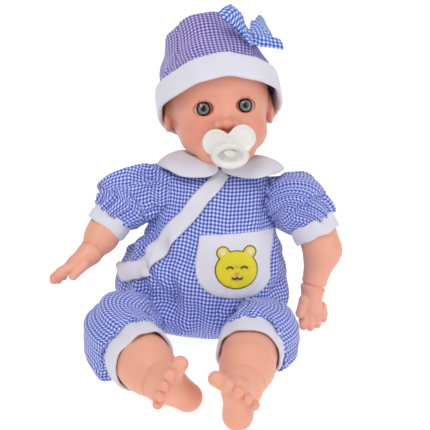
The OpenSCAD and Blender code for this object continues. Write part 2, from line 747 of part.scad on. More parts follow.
thigh_start = -55;
module thigh(hip, path, shin, end) stuffed_tube([
    [[hip[0].x, thigh_start, hip[0].z], [0, -1, 0], 24],
    [path[0][0], path[0][1], 29],
    [end - (leg_tie_back + 12) * shin, shin, 22],
    [end - (leg_tie_back - 3) * shin, shin, 15.4]
]);

module right_thigh() color(calico) thigh(right_hip, right_leg_path, right_shin, right_trouser_end);
module left_thigh() color(calico) thigh(left_hip, left_leg_path, left_shin, left_trouser_end);
module right_leg_tie() color("white")
    band(right_trouser_end - leg_tie_back * right_shin, right_shin, 21.4, 3.5, 1.4);
module left_leg_tie() color("white")
    band(left_trouser_end - leg_tie_back * left_shin, left_shin, 21.4, 3.5, 1.4);

// A vinyl lower leg: hollow from the tie, then the ankle, the foot and five toes
module lower_leg(end, shin, calf, ankle, ankle_r, heel, ball, toes) {
    start = end - (leg_tie_back - 5) * shin;
    difference() {
        union() {
            chain([start, end + 4 * shin, calf, ankle], [24, 24, 23, ankle_r]);
            capsule(ankle, heel, ankle_r - 1, 12, 12);
            capsule(heel, ball, 12, 12, 12);
            capsule(ankle, ball, ankle_r - 2, 12, 12);
            for (t = toes) capsule(ball, t[0], 8, t[1]);
        }
        chain([start - 6 * shin, end + 4 * shin, calf],
            [24 - vinyl_wall, 24 - vinyl_wall, 21 - vinyl_wall]);
        translate(start) rotate([0, acos(shin.z), atan2(shin.y, shin.x)]) translate([-40, -40, -50])
            cube([80, 80, 50]);
    }
}

module right_leg() color(vinyl) lower_leg(
    right_trouser_end, right_shin, [-50, -125, 29], [-35, -147, 27], 17.5, [-15, -150, 14], [-30, -161, 34],
    [
        [[-21, -168, 57], 7], [[-29, -171, 48.5], 5.6], [[-33.5, -171, 39.5], 5.3], [[-37, -170, 30], 5],
        [[-39, -168, 20.5], 4.8]
    ]
);

module left_leg() color(vinyl) lower_leg(
    left_trouser_end, left_shin, [38, -128, 31], [33, -156, 28], 17, [29, -178, 13], [28, -180, 38],
    [
        [[12, -185, 53], 7], [[21.5, -188, 49], 5.6], [[29, -189, 43.5], 5.3], [[35.5, -188.5, 37.5], 5],
        [[41, -187, 31], 4.8]
    ]
);

// ---- One node at a time ----

torso_bag();
torso_stuffing();
module_front_case();
module_rear_case();
battery_door();
battery_door_screw();
batteries();
battery_contacts();
speaker();
circuit_board();
case_screws();
belly_button();
power_switch();
romper_bodice();
romper_seat();
collar_right();
collar_left();
placket();
pocket();
bear_patch();
neck_casing();
neck_tie();
head_shell();
right_eyeball();
left_eyeball();
right_iris();
left_iris();
eye_lenses();
eye_cups();
mouth_socket();
reed_switch();
hat_crown();
hat_band();
bow_loops();
bow_tails();
bow_knot();
pacifier_shield();
pacifier_nipple();
pacifier_ring();
pacifier_magnet();
right_upper_arm();
right_sleeve();
right_sleeve_cuff();
right_arm_tie();
right_arm();
left_upper_arm();
left_sleeve();
left_sleeve_cuff();
left_arm_tie();
left_arm();
right_thigh();
right_trouser_leg();
right_trouser_cuff();
right_leg_tie();
right_leg();
left_thigh();
left_trouser_leg();
left_trouser_cuff();
left_leg_tie();
left_leg();
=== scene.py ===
"""Looks of the seated baby doll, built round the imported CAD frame. Local sizes are in millimetres."""

import json
import math

import bpy
import numpy as np
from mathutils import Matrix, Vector


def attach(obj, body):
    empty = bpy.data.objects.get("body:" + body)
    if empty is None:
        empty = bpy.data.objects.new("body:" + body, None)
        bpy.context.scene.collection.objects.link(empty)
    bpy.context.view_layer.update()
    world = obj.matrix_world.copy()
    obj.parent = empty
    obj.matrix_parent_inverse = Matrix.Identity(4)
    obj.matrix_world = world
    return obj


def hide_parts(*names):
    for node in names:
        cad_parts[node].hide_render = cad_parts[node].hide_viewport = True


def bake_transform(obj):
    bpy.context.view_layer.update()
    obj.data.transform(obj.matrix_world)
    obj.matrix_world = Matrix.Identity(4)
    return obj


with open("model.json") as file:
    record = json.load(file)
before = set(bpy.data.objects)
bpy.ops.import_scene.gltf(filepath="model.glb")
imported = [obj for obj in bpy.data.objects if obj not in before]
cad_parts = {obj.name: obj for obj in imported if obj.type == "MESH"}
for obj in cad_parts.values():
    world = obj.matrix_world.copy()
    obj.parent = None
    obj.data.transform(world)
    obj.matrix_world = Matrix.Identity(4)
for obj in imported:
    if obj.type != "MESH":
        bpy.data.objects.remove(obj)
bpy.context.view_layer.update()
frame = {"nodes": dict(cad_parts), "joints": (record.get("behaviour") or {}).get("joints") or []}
MM = 0.001
STEP = 1.0
joints = {j["name"]: j for j in frame["joints"]}


def joint_at(name):
    return np.array(joints[name]["pos_m"]) / MM


def joint_axis(name):
    return np.array(joints[name]["axis"])


class Place:
    """A local frame in millimetres: an origin and three axes, as the rows of a matrix."""

    def __init__(self, origin, x, y, z):
        self.origin = np.asarray(origin, float)
        self.axes = np.array([x, y, z], float)

    def out(self, p):
        return self.origin + np.asarray(p, float) @ self.axes


NECK_ON_BODY = np.array([5.0, 0.0, 121.0])
HAT_ON_HEAD = np.array([0.0, 8.0, 78.0])
body_x = joint_axis("neck_nod")
body_y = joint_axis("belly_button_press")
body_z = np.cross(body_x, body_y)
torso = Place((0, 0, 0), body_x, body_y, body_z)
torso.origin = joint_at("neck_nod") - NECK_ON_BODY @ torso.axes
head_z = joint_axis("head_turn")
head_y = -joint_axis("pacifier_pull")
head = Place(joint_at("neck_nod"), np.cross(head_y, head_z), head_y, head_z)
hat_z = joint_axis("hat_lift")
hat = Place(head.out(HAT_ON_HEAD), head.axes[0], np.cross(hat_z, head.axes[0]), hat_z)
world = Place((0, 0, 0), (1, 0, 0), (0, 1, 0), (0, 0, 1))


# ---- Curves, noise and meshes ----


def unit(v):
    v = np.asarray(v, float)
    return v / np.linalg.norm(v, axis=-1, keepdims=True)


def spline(table, t):
    """Rows [knot, values...] read at t with smooth joins."""
    table = np.asarray(table, float)
    knots, values = table[:, 0], table[:, 1:]
    slopes = np.gradient(values, knots, axis=0)
    t = np.clip(t, knots[0], knots[-1])
    i = np.clip(np.searchsorted(knots, t) - 1, 0, len(knots) - 2)
    width = (knots[i + 1] - knots[i])[..., None]
    s = (t - knots[i])[..., None] / width
    a, b = values[i], values[i + 1]
    da, db = slopes[i] * width, slopes[i + 1] * width
    ends = (2 * s**3 - 3 * s**2 + 1) * a + (3 * s**2 - 2 * s**3) * b
    return ends + (s**3 - 2 * s**2 + s) * da + (s**3 - s**2) * db


def wrinkle(p, wave, seed):
    """A smooth random field over points p, mostly between -2 and 2, with folds about wave mm apart."""
    rng, count = np.random.default_rng(seed), 18
    p = np.asarray(p, float)
    total = np.zeros(p.shape[:-1])
    for _ in range(count):
        direction = unit(rng.normal(size=p.shape[-1]))
        scale = 2 * math.pi / (wave * rng.uniform(0.7, 1.5))
        total += np.sin(scale * (p @ direction) + rng.uniform(0, 2 * math.pi))
    return total / math.sqrt(count / 2)


def ramp(x, a, b):
    """0 before a, 1 after b and smooth between."""
    s = np.clip((x - a) / (b - a), 0, 1)
    return s * s * (3 - 2 * s)


def signed_power(x, power):
    return np.sign(x) * np.abs(x) ** power


def once_round(count):
    """Angles of count columns once round, from the back and back to it, as a row."""
    return np.linspace(math.pi / 2, math.pi / 2 - 2 * math.pi, count)[None, :]


def ring_points(a, radius):
    return np.stack([np.cos(a) * radius, np.sin(a) * radius, 0 * a], -1)


def lerp(a, b, t):
    return a + (b - a) * t


def build(name, points, faces, material, uv=None, attributes=None):
    mesh = bpy.data.meshes.new(name)
    mesh.from_pydata((np.asarray(points) * MM).tolist(), [], np.asarray(faces).tolist())
    loops = np.empty(len(mesh.loops), np.int32)
    mesh.loops.foreach_get("vertex_index", loops)
    if uv is not None:
        layer = mesh.uv_layers.new(name="UVMap")
        layer.data.foreach_set("uv", np.asarray(uv, np.float32)[loops].ravel())
    for key, values in (attributes or {}).items():
        mesh.attributes.new(key, "FLOAT", "POINT").data.foreach_set("value", np.asarray(values, np.float32))
    mesh.polygons.foreach_set("use_smooth", np.ones(len(mesh.polygons), bool))
    mesh.update()
    mesh.materials.append(material)
    obj = bpy.data.objects.new(name, mesh)
    bpy.context.scene.collection.objects.link(obj)
    return obj


def grid_faces(m, n):
    a = np.arange(m - 1)[:, None] * n + np.arange(n - 1)[None, :]
    b = a + n
    return np.stack([a, a + 1, b + 1, b], -1).reshape(-1, 4)


def arc_uv(grid, start=0):
    """UV in millimetres of cloth: u along each row from column start, v down each column."""
    across = np.linalg.norm(np.diff(grid, axis=1), axis=2)
    u = np.concatenate([np.zeros((len(grid), 1)), np.cumsum(across, 1)], 1)
    u -= u[:, start : start + 1]
    down = np.linalg.norm(np.diff(grid, axis=0), axis=2)
    v = np.concatenate([np.zeros((1, grid.shape[1])), np.cumsum(down, 0)], 0)
    return np.stack([u, v], -1)


def cloth_grid(name, grid, material, thickness=1.2, start=0, uv=None):
    """A sheet of cloth from a grid of points, given a real thickness."""
    m, n = grid.shape[:2]
    uv = arc_uv(grid, start) if uv is None else uv
    obj = build(name, grid.reshape(-1, 3), grid_faces(m, n), material, uv.reshape(-1, 2))
    solid = obj.modifiers.new("Thickness", "SOLIDIFY")
    solid.thickness = thickness * MM
    solid.offset = -1
    return obj


# ---- Sculpted vinyl: distance fields and a surface over them ----


def dot_rows(p, q):
    return (p * q).sum(-1)


def ellipsoid(p, centre, radii):
    q = p - np.asarray(centre, np.float32)
    r = np.asarray(radii, np.float32)
    k0 = np.linalg.norm(q / r, axis=-1)
    k1 = np.linalg.norm(q / (r * r), axis=-1)
    return k0 * (k0 - 1) / np.maximum(k1, 1e-5)


def cone(p, a, b, ra, rb):
    a, b = np.asarray(a, np.float32), np.asarray(b, np.float32)
    d = b - a
    q = p - a
    t = np.clip(q @ d / float(d @ d), 0, 1)
    return np.linalg.norm(q - t[:, None] * d, axis=-1) - (ra + (rb - ra) * t)


def torus(p, centre, axis, radius, bar, squeeze=1.0):
    q = p - np.asarray(centre, np.float32)
    h = q @ np.asarray(unit(axis), np.float32)
    flat = np.sqrt(np.maximum(dot_rows(q, q) - h * h, 0))
    return np.hypot((flat - radius) * squeeze, h) - bar


def join(a, b, k):
    h = np.clip(0.5 + 0.5 * (b - a) / k, 0, 1)
    return b + (a - b) * h - k * h * (1 - h)


def cut(a, b, k):
    return -join(-a, b, k)


def surface(field, low, high, h):
    """Vertices and quads on field = 0 inside the box, by surface nets, moved onto the surface."""
    axes = [np.arange(a, b + h, h, dtype=np.float32) for a, b in zip(low, high)]
    shape = [len(a) for a in axes]
    points = np.stack(np.meshgrid(*axes, indexing="ij"), -1).reshape(-1, 3)
    values = np.concatenate([field(part) for part in np.array_split(points, 8)]).reshape(shape)
    inside = values < 0
    cells = np.array(shape) - 1
    sums = np.zeros((4, cells.prod()))
    edges = []
    for axis in range(3):
        lower = [slice(None)] * 3
        upper = [slice(None)] * 3
        lower[axis], upper[axis] = slice(0, -1), slice(1, None)
        a, b = values[tuple(lower)], values[tuple(upper)]
        crossing = inside[tuple(lower)] != inside[tuple(upper)]
        index = np.argwhere(crossing)
        at = index.astype(float)
        at[:, axis] += a[crossing] / (a[crossing] - b[crossing])
        others = [(axis + 1) % 3, (axis + 2) % 3]
        around = []
        for du, dv in ((-1, -1), (0, -1), (0, 0), (-1, 0)):
            cell = index.copy()
            cell[:, others[0]] += du
            cell[:, others[1]] += dv
            good = ((cell >= 0) & (cell < cells)).all(1)
            flat = np.where(good, np.ravel_multi_index(np.clip(cell, 0, cells - 1).T, cells), -1)
            around.append(flat)
            for k in range(3):
                sums[k] += np.bincount(flat[good], at[good, k], cells.prod())
            sums[3] += np.bincount(flat[good], minlength=cells.prod())
        edges.append((np.stack(around, 1), inside[tuple(lower)][crossing]))
    used = sums[3] > 0
    number = np.cumsum(used) - 1
    vertices = (sums[:3, used] / sums[3, used]).T * h + np.array([a[0] for a in axes])
    quads = []
    for around, starts_inside in edges:
        good = (around >= 0).all(1)
        quad = number[around[good]]
        flip = ~starts_inside[good]
        quad[flip] = quad[flip][:, ::-1]
        quads.append(quad)

    def value(spots):
        return field(spots.astype(np.float32))

    nudge = 0.25 * np.eye(3)
    for _ in range(2):
        slope = np.stack([value(vertices + d) - value(vertices - d) for d in nudge], -1) / 0.5
        size = np.maximum(dot_rows(slope, slope), 0.2)
        vertices -= np.clip(value(vertices) / size, -h, h)[:, None] * slope
    return vertices, np.concatenate(quads)


def sculpt(name, field, low, high, h, place, material, blush_and_shade=None):
    vertices, quads = surface(field, low, high, h * STEP)
    # per-vertex amount of deep tone: blush, and painted shade in creases and recesses
    attributes = {"blush_and_shade": np.clip(blush_and_shade(vertices), 0, 1)} if blush_and_shade else None
    return build(name, place.out(vertices), quads, material, attributes=attributes)


# ---- Materials ----


class Shader:
    """A node material with a Principled surface."""

    def __init__(self, name, roughness, **inputs):
        self.material = bpy.data.materials.new(name)
        self.material.use_nodes = True
        self.nodes = self.material.node_tree.nodes
        self.links = self.material.node_tree.links
        self.surface = self.nodes["Principled BSDF"]
        self.surface.inputs["Roughness"].default_value = roughness
        for key, value in inputs.items():
            self.surface.inputs[key.replace("_", " ")].default_value = value

    def node(self, kind, **inputs):
        node = self.nodes.new(kind)
        for key, value in inputs.items():
            self.put(value, node.inputs[key.replace("_", " ")])
        return node

    def put(self, value, socket):
        if hasattr(value, "is_linked"):
            self.links.new(value, socket)
        else:
            socket.default_value = value

    def maths(self, operation, a, b=0.0):
        node = self.nodes.new("ShaderNodeMath")
        node.operation = operation
        self.put(a, node.inputs[0])
        self.put(b, node.inputs[1])
        return node.outputs[0]

    def mix(self, factor, a, b):
        node = self.nodes.new("ShaderNodeMix")
        node.data_type = "RGBA"
        self.put(factor, node.inputs[0])
        self.put(a, node.inputs[6])
        self.put(b, node.inputs[7])
        return node.outputs[2]

    def times(self, a, b):
        return self.maths("MULTIPLY", a, b)

    def noise(self, scale, detail=3.0, rough=0.5):
        node = self.node("ShaderNodeTexNoise", Scale=scale, Detail=detail, Roughness=rough)
        self.links.new(self.place(), node.inputs["Vector"])
        return node.outputs["Fac"]

    def place(self):
        return self.nodes.new("ShaderNodeTexCoord").outputs["Object"]

    def uv(self):
        split = self.nodes.new("ShaderNodeSeparateXYZ")
        self.links.new(self.nodes.new("ShaderNodeTexCoord").outputs["UV"], split.inputs[0])
        return split.outputs[0], split.outputs[1]

    def attribute(self, name):
        node = self.nodes.new("ShaderNodeAttribute")
        node.attribute_name = name
        return node.outputs["Fac"]

    def stripes(self, coordinate, period):
        """1 on the coloured stripes and 0 between them, period mm apart."""
        wave = self.maths("SINE", self.times(coordinate, 2 * math.pi / period))
        raised = self.maths("ADD", self.times(wave, 6.0), 0.5)
        return self.maths("MAXIMUM", self.maths("MINIMUM", raised, 1.0), 0.0)

    def colour(self, value):
        self.put(value, self.surface.inputs["Base Color"])

    def bump(self, height, distance, strength=1.0):
        node = self.node("ShaderNodeBump", Height=height, Distance=distance * MM, Strength=strength)
        self.links.new(node.outputs[0], self.surface.inputs["Normal"])


def rgb(r, g, b):
    return (r, g, b, 1.0)


def weave_height(s, u, v, pitch):
    over = s.maths("SINE", s.times(u, 2 * math.pi / pitch))
    under = s.maths("SINE", s.times(v, 2 * math.pi / pitch))
    return s.times(over, under)


def gingham(name, dark, pale, white, period):
    s = Shader(name, roughness=0.62, Sheen_Weight=0.25, Sheen_Roughness=0.5)
    u, v = s.uv()
    a, b = s.stripes(u, period), s.stripes(v, period)
    both = s.times(a, b)
    either = s.maths("MAXIMUM", a, b)
    cloth = s.mix(both, s.mix(either, white, pale), dark)
    shade = s.times(s.noise(18.0), 0.16)
    s.colour(s.mix(shade, cloth, s.mix(either, rgb(0.72, 0.74, 0.94), dark)))
    slubs = s.times(s.noise(160.0), 2.0)
    s.bump(s.maths("ADD", weave_height(s, u, v, 0.55), slubs), 0.12, 0.5)
    return s.material


def plain_cloth(name, colour, shadow, nap=420.0):
    s = Shader(name, roughness=0.85, Sheen_Weight=0.35, Sheen_Roughness=0.45)
    s.colour(s.mix(s.noise(35.0), colour, shadow))
    fine = s.noise(nap, 6.0, 0.7)
    s.bump(s.maths("ADD", fine, s.times(s.noise(90.0), 0.8)), 0.3, 0.55)
    return s.material


def vinyl(name, base, deep):
    s = Shader(name, roughness=0.42, Subsurface_Weight=0.22, Subsurface_Scale=0.004, Specular_IOR_Level=0.42)
    s.surface.inputs["Subsurface Radius"].default_value = (1.0, 0.35, 0.2)
    mottled = s.mix(s.times(s.noise(28.0), 0.3), base, deep)
    # the deep tone comes in as blush and as painted shade in the nostrils, eye rims and wrist and ankle
    # creases
    s.colour(s.mix(s.attribute("blush_and_shade"), mottled, deep))
    s.bump(s.noise(900.0, 2.0), 0.05, 0.35)
    return s.material


def moulded(name, colour, roughness=0.4, grain=600.0):
    s = Shader(name, roughness=roughness)
    r, g, b, _ = colour
    s.colour(s.mix(s.noise(40.0), colour, rgb(r * 0.88, g * 0.88, b * 0.88)))
    s.bump(s.noise(grain, 2.0), 0.05, 0.3)
    return s.material


DARK_BLUE, MID_BLUE, WHITE = rgb(0.02, 0.03, 0.28), rgb(0.21, 0.27, 0.80), rgb(0.62, 0.69, 0.97)
romper_cloth = gingham("romper_gingham", DARK_BLUE, MID_BLUE, WHITE, 3.6)
hat_cloth = gingham("hat_gingham", rgb(0.045, 0.02, 0.19), rgb(0.26, 0.19, 0.58), rgb(0.60, 0.55, 0.86), 3.9)
bow_cloth = gingham("bow_gingham", rgb(0.015, 0.04, 0.32), rgb(0.14, 0.26, 0.78), rgb(0.62, 0.73, 0.97), 4.4)
white_cloth = plain_cloth("white_velour", rgb(0.72, 0.71, 0.77), rgb(0.64, 0.63, 0.71))
calico = plain_cloth("calico", rgb(0.86, 0.79, 0.66), rgb(0.74, 0.67, 0.54), 700.0)
stuffing = plain_cloth("polyester_filling", rgb(0.9, 0.9, 0.88), rgb(0.8, 0.8, 0.79), 120.0)
skin = vinyl("vinyl_skin", rgb(0.82, 0.41, 0.29), rgb(0.72, 0.22, 0.14))
face_skin = vinyl("vinyl_face", rgb(0.80, 0.38, 0.27), rgb(0.70, 0.18, 0.12))
pacifier_plastic = moulded("pacifier_plastic", rgb(0.78, 0.76, 0.71), 0.25)
case_plastic = moulded("case_plastic", rgb(0.78, 0.78, 0.76))
black_plastic = moulded("black_plastic", rgb(0.03, 0.03, 0.035))
red_plastic = moulded("red_plastic", rgb(0.62, 0.05, 0.04))
nylon = moulded("nylon", rgb(0.88, 0.88, 0.87), 0.35)
board = moulded("circuit_board_green", rgb(0.03, 0.22, 0.08), 0.35, 300.0)
battery_skin = moulded("battery_sleeve", rgb(0.08, 0.09, 0.10), 0.3)


def steel():
    s = Shader("steel", roughness=0.32, Metallic=1.0)
    s.colour(s.mix(s.noise(220.0), rgb(0.62, 0.62, 0.64), rgb(0.50, 0.50, 0.52)))
    s.bump(s.noise(500.0, 2.0), 0.04, 0.3)
    return s.material


steel_metal = steel()

INNER = [
    (calico, ["torso_bag", "neck_casing", "right_upper_arm", "left_upper_arm", "right_thigh", "left_thigh"]),
    (stuffing, ["torso_stuffing"]),
    (case_plastic, ["module_front_case", "module_rear_case", "battery_door", "eye_cups"]),
    (steel_metal, ["battery_door_screw", "battery_contacts", "case_screws", "pacifier_magnet"]),
    (battery_skin, ["batteries"]),
    (black_plastic, ["speaker", "power_switch"]),
    (board, ["circuit_board", "reed_switch"]),
    (red_plastic, ["belly_button"]),
    (nylon, ["neck_tie", "right_arm_tie", "left_arm_tie", "right_leg_tie", "left_leg_tie"]),
    (skin, ["mouth_socket"]),
    (pacifier_plastic, ["pacifier_nipple"]),
]


def paint_node(name, material):
    node = frame["nodes"][name]
    node.data.materials.clear()
    node.data.materials.append(material)


for inner_material, inner_names in INNER:
    for inner_name in inner_names:
        paint_node(inner_name, inner_material)


# ---- Head ----

EYE = np.array([19.7, -36.0, 53.0])
EYE_R = 9.5
MOUTH_Z = 17.5


def mirrored(p):
    """Points with x made positive, for features that come in pairs."""
    return np.concatenate([np.abs(p[:, :1]), p[:, 1:]], 1)


def head_field(p):
    m = mirrored(p)
    d = ellipsoid(p, (0, 8, 78), (49, 56, 49))
    masses = [
        (p, (0, -10, 58), (45, 40.5, 38), 10),  # middle of the face
        (p, (0, 15, 61), (50, 42, 34), 8),  # temples and back
        (p, (0, 6.5, 40), (42.5, 38, 30), 8),  # nape and jaw
        (m, (19, -17, 31), (23, 25, 21.5), 7),  # cheeks
        (p, (0, -30, 12), (27, 16, 14), 8),  # chin
        (p, (0, -36, 22), (14, 15, 12), 8),  # round the mouth
    ]
    for points, centre, radii, blend in masses:
        d = join(d, ellipsoid(points, centre, radii), blend)
    neck = cone(p, (0, 0, 14), (0, 0, -2), 20.5, 20.5)
    forehead = ellipsoid(p, (0, -31, 80), (32, 22, 22))
    d = join(join(d, neck, 6), forehead, 14)
    d = cut(d, ellipsoid(m, (17, -58, 57), (12, 12, 8)), 9)
    nose_bridge = cone(p, (0, -45, 52), (0, -49.5, 40), 3.2, 4.2)
    nose_tip = ellipsoid(p, (0, -52.0, 37.2), (6.4, 5.6, 5.2))
    nose_wings = ellipsoid(m, (7.2, -48.4, 36.2), (4.6, 4.8, 4.2))
    nostrils = ellipsoid(m, (3.8, -52.4, 31.8), (1.9, 2.6, 1.5))
    d = join(join(join(d, nose_bridge, 6), nose_tip, 3), nose_wings, 2.2)
    d = cut(d, nostrils, 1.2)
    lid = ellipsoid(m, EYE + np.array([0, 0.8, 0]), (11.4, 11.6, 10.6))
    d = join(d, lid, 2.5)
    fold = np.abs(np.hypot((m[:, 0] - EYE[0]) / 1.18, m[:, 2] - EYE[2] + 1) - 9.4) - 0.35
    upper = np.where(m[:, 1] < -30, fold + 3 * (1 - ramp(m[:, 2], EYE[2] + 3, EYE[2] + 8)), 9.0)
    d = cut(d, upper + 0.15, 0.9)
    slit = np.hypot((m[:, 0] - EYE[0]) / 8.9, (m[:, 2] - EYE[2]) / 6.7)
    hole = np.where(m[:, 1] < -34, (slit - 1) * 6.7, 9.0)
    d = cut(d, hole, 0.8)
    ear = ellipsoid(m, (49.5, 7, 51), (4.8, 10.5, 15))
    ear = cut(ear, ellipsoid(m, (55.5, 4.5, 54), (4, 6.2, 9.4)), 2.5)
    ear = join(ear, ellipsoid(m, (50, -1, 49), (3, 3, 4)), 2)
    d = join(d, ear, 2.5)
    crease = ellipsoid(p, (0, -60.5, MOUTH_Z + 1), (9.5, 9, 1.6))
    d = cut(d, crease, 2)
    groove = torus(p, (0, 0, -5.5), (0, 0, 1), 21.5, 3.4)
    flange = cone(p, (0, 0, -2), (0, 0, -9), 20.5, 20.5)
    d = join(d, flange, 1)
    d = cut(d, groove, 1)
    keep = np.maximum(-12.5 - p[:, 2], p[:, 2] - 128)
    d = np.maximum(d, keep)
    socket = np.hypot(p[:, 0], p[:, 2] - MOUTH_Z) - 7.9
    return np.maximum(d, -np.where(p[:, 1] < -30, socket, 9.0))


def near(p, centre, radius):
    return 1 - ramp(np.linalg.norm(p - np.asarray(centre), axis=1), 0.2 * radius, radius)


# Where the face takes the deep tone: blush, and painted shade in the nostrils and along the eye openings.
def head_blush_and_shade(p):
    m = mirrored(p)
    rim = np.hypot((m[:, 0] - EYE[0]) / 9.2, (m[:, 2] - EYE[2]) / 7.0)
    arc = np.hypot((m[:, 0] - EYE[0] + 1) / 1.25, m[:, 2] - EYE[2] + 7)
    brow = (1 - ramp(np.abs(arc - 18.6), 0.2, 1.4)) * ramp(m[:, 2], 60, 64) * (p[:, 1] < -20)
    return np.maximum.reduce(
        [
            0.28 * near(m, (27, -38, 33), 20),  # cheeks
            near(m, (4, -51.5, 31.6), 7),  # nostrils: blush with painted shade deep in them
            0.35 * near(p, (0, -55, 38), 9),  # tip of the nose
            0.45 * near(m, (53, 6, 52), 14),  # ears
            0.4 * near(p, (0, -38, 8), 18),  # chin
            # rims of the eye openings: a reddish line, with painted shade where the lids meet the eyes
            (1 - ramp(np.abs(rim - 1.0), 0.02, 0.16)) * (p[:, 1] < -34),
            0.14 * brow,
        ]
    )


head_low, head_high = (-58, -64, -14), (58, 68, 130)
head_visual = sculpt("head_skin", head_field, head_low, head_high, 1.25, head, face_skin, head_blush_and_shade)
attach(head_visual, "head")
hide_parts("head_shell")


def eye_material():
    s = Shader("painted_eye", roughness=0.06, Specular_IOR_Level=0.3)
    radius, angle = s.uv()
    ramp_node = s.nodes.new("ShaderNodeValToRGB")
    s.links.new(radius, ramp_node.inputs[0])
    stops = ramp_node.color_ramp.elements
    table = [
        (0.0, (0.004, 0.004, 0.005)),
        (0.24, (0.004, 0.004, 0.005)),
        (0.28, (0.22, 0.22, 0.21)),
        (0.42, (0.42, 0.42, 0.40)),
        (0.49, (0.16, 0.15, 0.14)),
        (0.53, (0.010, 0.007, 0.006)),
        (0.66, (0.010, 0.007, 0.006)),
        (0.70, (0.66, 0.46, 0.40)),
        (1.0, (0.72, 0.58, 0.52)),
    ]
    for k, (at, colour) in enumerate(table):
        stop = stops[k] if k < 2 else stops.new(at)
        stop.position = at
        stop.color = rgb(*colour)
    spokes = s.node("ShaderNodeTexWave", Scale=9.0, Distortion=3.0, Detail=2.0)
    vector = s.node("ShaderNodeCombineXYZ", X=angle, Y=0.0, Z=0.0)
    s.links.new(vector.outputs[0], spokes.inputs["Vector"])
    in_iris = s.times(s.maths("GREATER_THAN", radius, 0.235), s.maths("LESS_THAN", radius, 0.54))
    amount = s.times(s.times(spokes.outputs["Fac"], in_iris), 0.45)
    s.colour(s.mix(amount, ramp_node.outputs[0], rgb(0.05, 0.06, 0.06)))
    return s.material


painted_eye = eye_material()


def eye(side, sign):
    rings, around = 40, 65
    tilt = np.linspace(0, math.radians(115), rings)[:, None]
    turn = np.linspace(0, 2 * math.pi, around)[None, :]
    local = np.stack([np.sin(tilt) * np.cos(turn), -np.cos(tilt) + 0 * turn, np.sin(tilt) * np.sin(turn)], -1)
    points = local * EYE_R + EYE * [sign, 1, 1]
    from_axis = EYE_R * np.sin(np.minimum(tilt, math.pi / 2)) / 10
    uv = np.stack([from_axis + 0 * turn, turn / (2 * math.pi) + 0 * tilt], -1)
    faces = grid_faces(rings, around)[:, ::-1]
    obj = build(f"{side}_eye", head.out(points.reshape(-1, 3)), faces, painted_eye, uv.reshape(-1, 2))
    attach(obj, "head")
    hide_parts(f"{side}_eyeball", f"{side}_iris")


eye("right", -1)
eye("left", 1)


def clear():
    s = Shader("clear_lens", roughness=0.03, IOR=1.35)
    s.surface.inputs["Transmission Weight"].default_value = 1.0
    s.colour(s.mix(s.noise(30.0), rgb(0.98, 0.99, 0.99), rgb(0.96, 0.98, 0.98)))
    return s.material


paint_node("eye_lenses", clear())

# ---- Pacifier ----

SHIELD_Y = -59.0
RING_AT = np.array([-3.0, SHIELD_Y - 17, MOUTH_Z - 10.5])
RING_R, RING_BAR = 14.0, 3.2


def turned(p, degrees):
    x, y, z = np.radians(degrees)
    px, py, pz = p
    py, pz = py * math.cos(x) - pz * math.sin(x), py * math.sin(x) + pz * math.cos(x)
    px, pz = px * math.cos(y) + pz * math.sin(y), pz * math.cos(y) - px * math.sin(y)
    return np.array([px * math.cos(z) - py * math.sin(z), px * math.sin(z) + py * math.cos(z), pz])


RING_AXIS = turned((0, 0, 1), (39, 4, -6))
SHIELD_ROLL = math.radians(5)


def shield_field(p):
    x, y, z = p[:, 0], p[:, 1], p[:, 2] - MOUTH_Z
    u = x * math.cos(SHIELD_ROLL) + z * math.sin(SHIELD_ROLL)
    w = z * math.cos(SHIELD_ROLL) - x * math.sin(SHIELD_ROLL)
    bend = y - (SHIELD_Y - 1.1) - 0.0035 * x * x
    lobes = cone(np.stack([np.abs(u), w], -1), (12.5, 4), (0, -12), 12.3, 8)
    middle = np.maximum(np.abs(u) - 11, np.abs(w + 2) - 11)
    outline = join(lobes, middle, 5)
    plate = np.hypot(np.maximum(outline + 1.2, 0), bend) - 1.2
    rim = np.hypot(outline + 1.5, bend + 0.3) - 1.7
    knob = np.maximum(np.hypot(x + 1, z + 5) - 6.4, np.abs(y - SHIELD_Y + 4.2) - 3.8)
    d = join(join(plate, rim, 0.6), knob, 1.6)
    return cut(d, torus(p, RING_AT, RING_AXIS, RING_R, RING_BAR + 0.4), 0.5)


def ring_field(p):
    return torus(p, RING_AT, RING_AXIS, RING_R, RING_BAR - 0.1, 0.92)


shield_low, shield_high = (-28, -72, MOUTH_Z - 23), (28, -54, MOUTH_Z + 20)
shield = sculpt(
    "pacifier_shield_moulding", shield_field, shield_low, shield_high, 0.8, head, pacifier_plastic
)
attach(shield, "pacifier")
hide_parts("pacifier_shield")
ring = sculpt("pacifier_ring_moulding", ring_field, RING_AT - 19, RING_AT + 19, 0.8, head, pacifier_plastic)
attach(ring, "pacifier")
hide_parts("pacifier_ring")

# ---- Hands and feet ----


def limb_field(parts, cuts, cut_k):
    def field(p):
        d = None
        for a, b, ra, rb, k in parts:
            c = cone(p, a, b, ra, rb)
            d = c if d is None else join(d, c, k)
        for centre, axis, radius, bar in cuts:
            d = cut(d, torus(p, centre, axis, radius, bar), cut_k)
        return d

    return field


def box_of(parts):
    ends = np.array([end for a, b, ra, rb, _ in parts for end in (a - ra, b - rb, a + ra, b + rb)])
    return ends.min(0) - 3, ends.max(0) + 3


def at(*values):
    return np.array(values, float)


def cuff_of(side, limb):
    """Where the cuff of an arm or leg is, and which way the limb leaves it."""
    return joint_at(f"{side}_{limb}_twist"), joint_axis(f"{side}_{limb}_twist")


